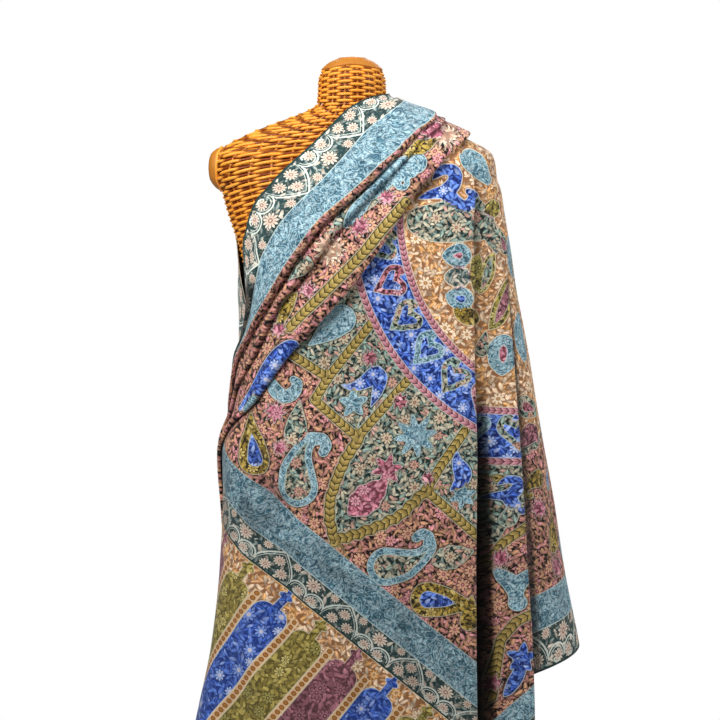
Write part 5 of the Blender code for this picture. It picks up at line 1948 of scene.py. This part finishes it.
@dataclass
class HangingPanels:
    """The front, the upright pleat, the outer fall and the back."""

    maker: ClothMaker
    front_left: float = math.radians(-206)
    back_left: float = math.radians(192)

    def __post_init__(self) -> None:
        """Works out the upright folds and the hidden top edges."""
        self.front_fold, self.front_relief = upright_line(FRONT_FOLD)
        self.side_fold, self.side_relief = upright_line(SIDE_FOLD)
        self.front_top, self.back_top = hidden_top(-1), hidden_top(1)

    @staticmethod
    def _waves(angle: Array, height: Array, depth: float, turns: float, slant: float) -> Array:
        """Shallow folds that grow from nothing at the chest to their full depth at the hem."""
        grown = smooth_step((1150.0 - height) / 600.0)
        return depth * grown * (0.5 + 0.5 * np.sin(turns * angle + slant * height / 1000.0))

    def _under(self, line: Curve, side: int) -> Curve:
        """The upright line moved sideways, under the layer that covers it."""

        def angle(height: Array) -> Array:
            at = line(height)
            reach = np.linalg.norm(DRAPE.at(at, height)[..., :2], axis=-1)
            tuck = 8.0 + 26.0 * smooth_step((1430.0 - np.asarray(height)) / 200.0)
            return at + side * tuck / reach

        return angle

    def _front_offset(self, share: float, angles: Array, heights: Array) -> Array:
        """How far out the front panel lies."""
        floor = 2 * layer_pitch(angles, heights)
        start = 0.80 + 0.08 * smooth_step((heights - 1250.0) / 130.0)
        rise = smooth_step((share - start) / (1.0 - start))
        tucked = np.maximum(rise, near_shoulder(angles, heights))
        below = self.front_top(angles) - heights
        clear = smooth_step((share - 0.08) / 0.2) * smooth_step((below - 60.0) / 120.0)
        waves = self._waves(angles, heights, 7.0, 7.0, 5.0) * clear
        x = ARC.at(angles, heights)
        folds = creased(FRONT_CREASES, x, heights) * smooth_step((below - 34.0) / 30.0)
        room = 0.6 + 0.4 * smooth_step((1150.0 - heights) / 300.0)
        loose = np.maximum(waves + folds * room, -2.0 - 14.0 * smooth_step((1200.0 - heights) / 250.0))
        relief = self.front_relief(heights) * rise
        return floor * tucked + side_lift(angles, heights) + relief + loose * (1.0 - rise)

    def _side_offset(self, share: float, angles: Array, heights: Array) -> Array:
        """How far out the upright pleat lies."""
        rise = smooth_step((share - 0.66) / 0.34)
        ripple = 1.2 * np.sin(heights / 61.0 + 2.0 * share) * smooth_step((1300.0 - heights) / 200.0)
        across = smooth_step(share / 0.2) * (1.0 - smooth_step((share - 0.56) / 0.12))
        hollow = RECESS * across * smooth_step((RECESS_TOP - heights) / RECESS_FALL)
        folds = creased(SIDE_CREASES, ARC.at(angles, heights), heights) * smooth_step((0.96 - share) / 0.1)
        loose = ripple * (1.0 - rise) * smooth_step(share / 0.4) + np.maximum(folds, -2.6)
        return layer_pitch(angles, heights) + self.side_relief(heights) * rise + loose - hollow

    def _outer_offset(self, share: float, angles: Array, heights: Array) -> Array:
        """How far out the outer fall lies."""
        middle = smooth_step((share - 0.2) / 0.25) * smooth_step((0.8 - share) / 0.25)
        x = ARC.at(angles, heights)
        folds = creased(OUTER_CREASES, x, heights) * smooth_step((share - 0.06) / 0.1)
        folds = folds * smooth_step((0.94 - share) / 0.1) * smooth_step((1340.0 - heights) / 90.0)
        return self._waves(angles, heights, 5.0, 11.0, 3.0) * middle + np.maximum(folds, -2.5)

    def _back_offset(self, share: float, angles: Array, heights: Array) -> Array:
        """How far out the back lies."""
        floor = layer_pitch(angles, heights)
        start = 0.82 + 0.06 * smooth_step((heights - 1250.0) / 130.0)
        rise = smooth_step((share - start) / (1.0 - start))
        tucked = np.maximum(rise, near_shoulder(angles, heights))
        waves = self._waves(angles, heights, 8.0, 8.0, 4.0)
        inner = smooth_step((math.radians(165) - angles) / math.radians(20))
        x = ARC.at(-angles, heights)
        below = self.back_top(angles) - heights
        folds = creased(BACK_CREASES, x, heights) * smooth_step((below - 34.0) / 40.0) * inner
        loose = np.maximum(waves * inner + folds, -2.0 - 12.0 * smooth_step((1200.0 - heights) / 250.0))
        return floor * tucked + 0.8 * self.front_relief(heights) * rise + loose * (1.0 - rise)

    @staticmethod
    def _plane(
        piece: Panel, angle: Array, height: Array, near_hem: Array, dark: Array, moved: Array | float
    ) -> ClothPlane:
        """Where a panel's points lie on the flat cloth."""
        kind = (piece.ring, piece.drawing, True, dark)
        seen = ARC.at(-np.abs(angle) if piece is Panel.BACK else angle, height)
        seen = seen + moved * smooth_step((seen - 20.0) / 90.0)
        x = seen + piece.shift
        if piece in (Panel.SIDE, Panel.OUTER):
            along = x + 19.0 if piece is Panel.OUTER else x * 0.776 + height * 0.63
            return ClothPlane(x, height, seen, near_hem, along, near_hem + 400.0, *kind)
        low = height - piece.hem_line
        edge = (low - 0.79 * (seen + 17.0)) / math.hypot(1.0, 0.79)
        end = (low + 0.81 * (seen + 17.0)) / math.hypot(1.0, 0.79)
        return ClothPlane(x, height, seen, edge, x * 0.776 + height * 0.63, end, *kind)

    def _painted_shade(self, piece: Panel, angle: Array, height: Array) -> Array:
        """Painted shade on a panel: darker colour under the layer that covers its edge, beside fold edges,
        and in its deep folds.
        """
        x = ARC.at(angle, height)
        if piece is Panel.FRONT:
            below = self.front_top(angle) - height
            # painted shadow just below the edge of the fold that covers the front
            under = 0.62 * (1.0 - smooth_step((below - 31.0) / 16.0)) * (1.0 - near_shoulder(angle, height))
            return np.clip(under + creased(FRONT_PAINTED_SHADE, x, height), 0.0, 0.9)
        if piece is Panel.BACK:
            return np.zeros(x.shape)
        starts = smooth_step((1440.0 - height) / 140.0)
        if piece is Panel.OUTER:
            # painted shadow beside the side pleat's fold edge
            gap = x - ARC.at(self.side_fold(height), height) - self.side_relief(height)
            return 0.9 * starts * (1.0 - smooth_step((gap - 6.0) / 9.0))
        # painted shade in the gap beside the front fold
        low = smooth_step((1150.0 - height) / 220.0)
        gap = x - ARC.at(self.front_fold(height), height) - 8.0 - 20.0 * low
        return (0.64 + 0.27 * low) * starts * (1.0 - smooth_step(gap / 13.0))

    def _piece(self, piece: Panel, shape: PanelShape) -> bpy.types.Object:
        """One panel."""
        angle, height, offset = shape.grid()
        near_hem = (height - shape.hem(angle)) * piece.lean
        # Painted shade: darker colour where the cloth sinks into a hollow, and under and beside folds.
        dark = np.maximum(np.clip((-offset - 1.5) / 27.0, 0.0, 1.0), self._painted_shade(piece, angle, height))
        moved = offset * DRAPE.outwards(angle, height)[..., 0] if piece is Panel.FRONT else 0.0
        plane = self._plane(piece, angle, height, near_hem, dark, moved)
        return self.maker.shell(piece.title, Sheet(angle, height, offset, plane))

    def build(self) -> dict[str, bpy.types.Object]:
        """The four panels, by the node that each stands for."""

        def ridge_top(angle: Array) -> Array:
            return np.where(np.asarray(angle) < 0, self.front_top(angle), self.back_top(angle))

        front = PanelShape(
            lambda h: self.front_left + 0.0 * np.asarray(h),
            self.front_fold,
            self.front_top,
            by_angle(FRONT_HEM),
            208,
            344,
            self._front_offset,
            self.front_relief,
        )
        side = PanelShape(
            self._under(self.front_fold, -1),
            self.side_fold,
            self.front_top,
            by_angle(SIDE_HEM),
            72,
            250,
            self._side_offset,
            self.side_relief,
        )
        outer = PanelShape(
            self._under(self.side_fold, -1),
            self._under(lambda h: -self.front_fold(h), 1),
            ridge_top,
            by_angle(OUTER_HEM),
            150,
            240,
            self._outer_offset,
        )
        back = PanelShape(
            lambda h: self.back_left + 0.0 * np.asarray(h),
            lambda h: -self.front_fold(h),
            self.back_top,
            by_angle(BACK_HEM),
            190,
            300,
            self._back_offset,
            lambda h: 0.8 * self.front_relief(h),
            -1,
        )
        return {
            "shawl_front": self._piece(Panel.FRONT, front),
            "shawl_side_pleat": self._piece(Panel.SIDE, side),
            "shawl_outer_fall": self._piece(Panel.OUTER, outer),
            "shawl_back": self._piece(Panel.BACK, back),
        }


# ---------------------------------------------------------------- the woven form


@dataclass
class WovenForm:
    """The dress form: a core with shade painted in its weave, upright stakes, weavers that pass in and out of
    them, and its caps.
    """

    row_pitch: float = 4.3
    strand_radius: float = 2.2
    swing: float = 1.3
    core_inset: float = 8.6
    lowest: float = 1120.0
    highest: float = 1543.5
    neck: float = 1487.0
    shoulder_stakes: int = 30
    stake_phase: float = 0.43
    arch: float = 7.5
    neck_stakes: int = 16
    cap_height: float = 1403.0
    cap_half: tuple[float, float] = (27.0, 29.0)
    cap_bulge: float = 8.0
    foot: float = 868.0
    dome_level: float = 1549.0
    dome_rise: float = 2.4
    dome_tip: float = 1552.5

    def _tilted(self, level: float, angle: Array) -> Array:
        """A row's heights: rows follow the shoulder's slope near its top."""
        height = np.full(angle.shape, level)
        slope = 0.18 - 0.11 * float(smooth_step((level - 1390.0) / 60.0))
        weight = float(smooth_step((1496.0 - level) / 10.0))
        for _ in range(4):
            x = np.abs(FORM.at(angle, height)[..., 0])
            drop = slope * np.maximum(x - 40.0, 0.0) + 0.0016 * np.maximum(x - 108.0, 0.0) ** 2
            height = level - weight * drop
        arched = self.arch * float(smooth_step((level - 1490.0) / 34.0))
        return height - arched * np.cos(angle) ** 2

    def _shares(self, level: float) -> tuple[Array, Array, float]:
        """Shares of the way round a row, their angles, and the front's share."""
        angles = np.linspace(-math.pi, math.pi, 721)
        steps = np.linalg.norm(np.diff(FORM.at(angles, self._tilted(level, angles)), axis=0), axis=-1)
        run = np.concatenate([[0.0], np.cumsum(steps)])
        shares = run / run[-1]
        return shares, angles, float(np.interp(-math.pi / 2, angles, shares))

    @staticmethod
    def _steep(angle: Array, height: Array) -> Array:
        """1 where the form faces up, along the shoulder's ridge, and 0 on its upright sides."""
        return smooth_step((FORM.outwards(angle, height)[..., 2] - 0.45) / 0.35)

    def _in_cap(self, points: Array) -> Array:
        """How far points are from the left armhole's middle, 1 at the cap's rim."""
        deep, tall = self.cap_half
        share = np.hypot(points[..., 1] / deep, (points[..., 2] - self.cap_height) / tall)
        return np.where(points[..., 0] < 0, share, 9.0)

    def _bare(self, angle: Array, height: Array) -> Array:
        """True where no cloth covers the form."""
        top = FOLDS.lines[0]
        places, behind = np.linspace(-0.75, 0.0, 260), np.linspace(0.0, 1.0, 260)
        margin = 7.0
        ahead = np.interp(height + margin, top[1](places), top[0](places), left=-4.2, right=0.6)
        back = np.interp(height + margin, top[1](behind)[::-1], top[0](behind)[::-1], left=3.6, right=-0.6)
        above = height > 1503.0
        front_limit, back_limit = np.where(above, 0.0, -ahead), np.where(above, 0.0, back)
        limit = np.where(angle <= 0, front_limit, back_limit)
        return np.abs(angle) > limit - 0.08

    def _paths(self) -> list[Array]:
        """The weavers' and stakes' paths and the cap's rim, in mm, with 1 in front and 0 behind, which sets
        how much shade is painted on them.
        """
        paths = []
        inset = self.swing + self.strand_radius + 0.15
        for row, level in enumerate(np.arange(self.highest - 3.0, self.lowest, -self.row_pitch)):
            stakes = self.neck_stakes if level > self.neck else self.shoulder_stakes
            places = np.linspace(0.0, 1.0, stakes * 10 + 1)
            shares, angles, middle = self._shares(float(level))
            angle = np.interp(places, shares, angles)
            height = self._tilted(float(level), angle)
            turn = (places - middle) * stakes - self.stake_phase
            wave = np.cos(math.pi * (turn + row))
            bend = np.sign(wave) * np.abs(wave) ** 0.8
            sway = self.swing * (1.0 - 0.6 * self._steep(angle, height)) * bend
            points = FORM.raised(angle, height, sway - inset)
            keep = self._bare(angle, height) & (self._in_cap(points) > 1.0)
            # how far in front each point lies, which the strands' material turns into painted shade
            front = 0.5 + 0.5 * bend
            paths += self._runs(np.concatenate([points, front[:, None]], 1), keep, closed=True)
        for stakes, top, bottom in (
            (self.neck_stakes, self.highest, self.neck - 6.0),
            (self.shoulder_stakes, self.neck - 2.0, self.lowest),
        ):
            heights = np.arange(top, bottom, -6.0)
            places = (np.arange(stakes) + self.stake_phase) / stakes
            columns = []
            for height in heights:
                share, angle, middle = self._shares(float(height))
                columns.append(np.interp((places + middle) % 1.0, share, angle))
            for angles in np.unwrap(np.array(columns), axis=0).T:
                points = FORM.raised(angles, heights, np.full(heights.shape, -inset - 1.2))
                keep = self._bare((angles + math.pi) % (2 * math.pi) - math.pi, heights)
                keep &= self._in_cap(points) > 1.0
                paths += self._runs(np.concatenate([points, np.full((len(points), 1), 0.36)], 1), keep)
        turn = np.linspace(0.0, 2 * math.pi, 61)
        rim = self._cap_points(np.full(turn.shape, 1.0), turn, np.full(turn.shape, -1.2))
        return paths + [np.concatenate([rim, np.ones((len(rim), 1))], 1)]

    def _cap_points(self, share: Array, turn: Array, out: Array) -> Array:
        """Points over the left armhole: how far from its middle, the turn round it, and how far out."""
        deep, tall = self.cap_half
        y, z = share * deep * np.cos(turn), self.cap_height + share * tall * np.sin(turn)
        size = {name: curve(z) for name, curve in FORM.size.items()}
        room = np.abs(y) / np.where(y >= 0, size["back"], size["front"])
        reach = np.maximum(1.0 - room ** size["power"], 0.0) ** (1 / size["power"])
        x = size["centre"] - size["left"] * reach
        return np.stack([x - out, y, z], axis=-1)

    @staticmethod
    def _runs(points: Array, keep: Array, closed: bool = False) -> list[Array]:
        """The stretches of a path that are kept."""
        if keep.all():
            return [points]
        if closed:
            start = int(np.argmin(keep))
            points = np.concatenate([points[start:-1], points[:start]])
            keep = np.concatenate([keep[start:-1], keep[:start]])
        edges = np.flatnonzero(np.diff(np.concatenate([[0], keep.astype(int), [0]])))
        return [points[a:b] for a, b in zip(edges[::2], edges[1::2]) if b - a > 3]

    def _tubes(self, paths: list[Array], material: bpy.types.Material) -> bpy.types.Object:
        """Strands along the paths, made with Geometry Nodes.

        Args:
            paths: The points of each strand, in mm.
            material: Their finish.

        Returns:
            One plain mesh.
        """
        data = bpy.data.curves.new("strand_paths", "CURVE")
        data.dimensions = "3D"
        for path in paths:
            spline = data.splines.new("POLY")
            spline.points.add(len(path) - 1)
            places = np.concatenate([path[:, :3] * MM, np.ones((len(path), 1))], 1)
            spline.points.foreach_set("co", places.ravel())
            spline.points.foreach_set("radius", path[:, 3])
        source = placed("strand_paths", data)
        tree, radius, finish = self._strand_nodes()
        modifier = source.modifiers.new("strands", "NODES")
        modifier.node_group = tree
        modifier[radius] = self.strand_radius * MM
        modifier[finish] = material
        evaluated = source.evaluated_get(bpy.context.evaluated_depsgraph_get())
        mesh = bpy.data.meshes.new_from_object(evaluated)
        bpy.data.objects.remove(source)
        return placed("woven_strands", mesh)

    @staticmethod
    def _strand_nodes() -> tuple[bpy.types.NodeTree, str, str]:
        """Nodes that sweep a circle along curves, and the names of their radius and finish."""
        tree = bpy.data.node_groups.new("strands", "GeometryNodeTree")
        tree.interface.new_socket("Geometry", in_out="INPUT", socket_type="NodeSocketGeometry")
        radius = tree.interface.new_socket("Radius", in_out="INPUT", socket_type="NodeSocketFloat")
        finish = tree.interface.new_socket("Finish", in_out="INPUT", socket_type="NodeSocketMaterial")
        tree.interface.new_socket("Geometry", in_out="OUTPUT", socket_type="NodeSocketGeometry")
        begin, end = tree.nodes.new("NodeGroupInput"), tree.nodes.new("NodeGroupOutput")
        stored = tree.nodes.new("GeometryNodeStoreNamedAttribute")
        stored.inputs["Name"].default_value = "front"
        front = tree.nodes.new("GeometryNodeInputRadius")
        even = tree.nodes.new("GeometryNodeSetCurveRadius")
        even.inputs["Radius"].default_value = 1.0
        circle = tree.nodes.new("GeometryNodeCurvePrimitiveCircle")
        circle.inputs["Resolution"].default_value = 6
        sweep = tree.nodes.new("GeometryNodeCurveToMesh")
        sweep.inputs["Fill Caps"].default_value = True
        smooth = tree.nodes.new("GeometryNodeSetShadeSmooth")
        realize = tree.nodes.new("GeometryNodeRealizeInstances")
        dress = tree.nodes.new("GeometryNodeSetMaterial")
        link = tree.links.new
        link(begin.outputs["Radius"], circle.inputs["Radius"])
        link(begin.outputs["Geometry"], stored.inputs["Geometry"])
        link(front.outputs["Radius"], stored.inputs["Value"])
        link(stored.outputs["Geometry"], even.inputs["Curve"])
        link(even.outputs["Curve"], sweep.inputs["Curve"])
        link(circle.outputs["Curve"], sweep.inputs["Profile Curve"])
        link(sweep.outputs["Mesh"], smooth.inputs["Geometry"])
        link(smooth.outputs["Geometry"], realize.inputs["Geometry"])
        link(realize.outputs["Geometry"], dress.inputs["Geometry"])
        link(begin.outputs["Finish"], dress.inputs["Material"])
        link(dress.outputs["Geometry"], end.inputs["Geometry"])
        return tree, radius.identifier, finish.identifier

    @staticmethod
    def _lofted(name: str, top: Array, rings: Array, material: bpy.types.Material) -> bpy.types.Object:
        """A closed piece from a top point down through rings, in mm, with a flat last face."""
        count, columns = rings.shape[:2]
        vertices = np.concatenate([top[None], rings.reshape(-1, 3)]) * MM
        faces = [(0, 1 + j, 1 + (j + 1) % columns) for j in range(columns)]
        for i in range(count - 1):
            for j in range(columns):
                p, q = 1 + i * columns + j, 1 + i * columns + (j + 1) % columns
                faces.append((p, p + columns, q + columns, q))
        last = 1 + (count - 1) * columns
        faces.append(tuple(last + j for j in reversed(range(columns))))
        mesh = bpy.data.meshes.new(name)
        mesh.from_pydata(vertices.tolist(), [], faces)
        mesh.shade_smooth()
        mesh.materials.append(material)
        return placed(name, mesh)

    def _core(self, material: bpy.types.Material) -> bpy.types.Object:
        """The solid form under the strands, and the plain woven form under the cloth."""
        crown = [1549.2, 1548, 1546, 1543, 1540, 1537, 1534, 1532.6, 1531.4]
        levels = np.concatenate([crown, np.arange(1530.0, self.foot, -4.0), [self.foot]])
        a, h = np.meshgrid(np.linspace(-math.pi, math.pi, 161)[:-1], levels)
        top = self.highest - self.arch * np.cos(a) ** 2
        bare = self._bare(a, h) * smooth_step((top - h) / 1.2) * smooth_step((h - self.lowest) / 20.0)
        for _ in range(3):
            bare = np.maximum(bare, 0.45 * (np.roll(bare, 1, 1) + np.roll(bare, -1, 1)))
        bare = np.clip(bare, 0.0, 1.0) * (1.0 - 0.7 * self._steep(a, h))
        points = FORM.raised(a, h, -self.core_inset * bare - 0.25)
        return self._lofted("form_core", np.array([0.0, 0.0, 1549.6]), points, material)

    def _dome(self, material: bpy.types.Material) -> bpy.types.Object:
        """The smooth top of the neck, with a slight lip over the weave."""
        share = np.array([0.1, 0.25, 0.4, 0.55, 0.7, 0.8, 0.88, 0.93, 0.97, 1.0, 1.0])
        lip = np.array([0, 0, 0, 0, 0, 0, 0.1, 0.3, 0.4, -0.4, -6.0])
        a, s = np.meshgrid(np.linspace(-math.pi, math.pi, 97)[:-1], share)
        low = self.highest - 1.6 - self.arch * np.cos(a) ** 2
        h = self.dome_level - (self.dome_level - low) * s**1.6
        points = FORM.raised(a, h, np.broadcast_to(lip[:, None], h.shape))
        points[..., 2] += self.dome_rise * (1.0 - s * s)
        return self._lofted("neck_dome", np.array([0.0, 0.0, self.dome_tip]), points, material)

    def _cap(self, material: bpy.types.Material) -> bpy.types.Object:
        """The smooth oval cap of the bare armhole."""
        shares = np.array([0.12, 0.3, 0.5, 0.68, 0.82, 0.92, 0.97, 1.0, 1.0])
        turn = np.linspace(0.0, 2 * math.pi, 73)[:-1]
        share, turn = np.meshgrid(shares, turn, indexing="ij")
        out = self.cap_bulge * np.sqrt(np.maximum(1.0 - share**2.6, 0.0))
        out[-1] = -9.0
        tip = self._cap_points(np.zeros(1), np.zeros(1), np.full(1, self.cap_bulge))[0]
        return self._lofted("armhole_cap", tip, self._cap_points(share, turn, out), material)

    def build(self) -> dict[str, bpy.types.Object]:
        """The strands, the core, the neck's dome and the armhole's cap."""
        smooth = Rattan("smooth_rattan", dark="985414", middle="b87428", light="cc8c3e", coat=0.0).build()
        strands = Rattan("rattan_strands", strands=True).build()
        plain = Rattan("rattan_core", roughness=0.95, coat=0.0, gloss=0.02, woven=True).build()
        return {
            "strands": self._tubes(self._paths(), strands),
            "core": self._core(plain),
            "dome": self._dome(smooth),
            "cap": self._cap(smooth),
        }


# ---------------------------------------------------------------- the studio


@dataclass(frozen=True)
class Studio:
    """A pale floor, soft light and a camera straight in front at chest height."""

    width: float = 0.9576
    centre_x: float = 0.0106
    centre_z: float = 1.147
    distance: float = 12.0
    subject_y: float = -0.06
    aim: float = 1.15
    floor_size: float = 14.0

    def _light(self, name: str, place: tuple[float, float, float], size: float, power: float) -> None:
        """A square lamp that faces the form."""
        lamp = bpy.data.lights.new(name, "AREA")
        lamp.size = size
        lamp.energy = power
        obj = placed(name, lamp)
        obj.location = place
        obj.rotation_euler = (Vector((0, 0, self.aim)) - Vector(place)).to_track_quat("-Z", "Y").to_euler()

    def build(self) -> None:
        """The floor, lights, world and camera."""
        scene = bpy.context.scene
        bpy.ops.mesh.primitive_plane_add(size=self.floor_size, location=(0, 0, -0.0005))
        floor = bpy.context.object
        floor.name = "studio_floor"
        floor.data.materials.append(Graph("pale_floor").finish(rgb("dedcd8"), 0.8, 0.0, 0.0))
        world = bpy.data.worlds.new("studio")
        scene.world = world
        world.use_nodes = True
        world.node_tree.nodes["Background"].inputs[0].default_value = (1.0, 1.0, 1.0, 1.0)
        world.node_tree.nodes["Background"].inputs[1].default_value = 1.0
        world.cycles_visibility.diffuse = False
        world.cycles_visibility.glossy = False
        self._light("key", (-1.0, -1.25, 2.5), 0.7, 44.0)
        self._light("fill_left", (-3.2, -1.5, 2.8), 1.6, 22.0)
        self._light("fill_right", (3.1, -0.9, 2.5), 1.4, 70.0)
        self._light("top", (0.25, -0.5, 3.5), 1.0, 26.0)
        self._light("back", (0.4, 3.2, 2.2), 2.0, 52.0)
        scene.view_settings.view_transform = "Standard"
        camera = bpy.data.cameras.new("camera")
        camera.lens = 36.0 * (self.distance + self.subject_y) / self.width
        camera.clip_end = 60.0
        obj = placed("camera", camera)
        obj.location = (self.centre_x, -self.distance, self.centre_z)
        obj.rotation_euler = (math.pi / 2, 0.0, 0.0)
        scene.camera = obj


# ---------------------------------------------------------------- the sheets and the model


@dataclass(frozen=True)
class SheetFact:
    """A stretch's cut, in metres, and what carries it."""

    width: float
    length: float
    rests_on: tuple[str, ...]


def main() -> None:
    """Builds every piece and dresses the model."""
    logging.basicConfig(level=logging.INFO)
    studio = Studio()
    studio.build()
    form = WovenForm().build()
    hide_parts("form_torso")
    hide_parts("form_cap_left")
    for piece in form.values():
        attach(piece, "root")
        LOG.info("%s: %d faces", piece.name, len(piece.data.polygons))
    smooth_rattan = form["cap"].data.materials[0]
    wood = StainedWood().build()
    for name, material in (
        ("form_cap_right", smooth_rattan),
        ("stand_base", wood),
        ("stand_pole", wood),
        ("stand_collar", wood),
    ):
        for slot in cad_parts[name].material_slots:
            slot.material = material
    maker = ClothMaker(EmbroideredWool().build())
    pieces = DiagonalPleats(maker).build() | HangingPanels(maker).build()
    shown = {"form_core": form["core"]} | pieces
    for node, piece in pieces.items():
        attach(piece, "root")
        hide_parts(node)
        "shawl_border" if node == "shawl_top_border" else "shawl_field"


if __name__ == "__main__":
    main()
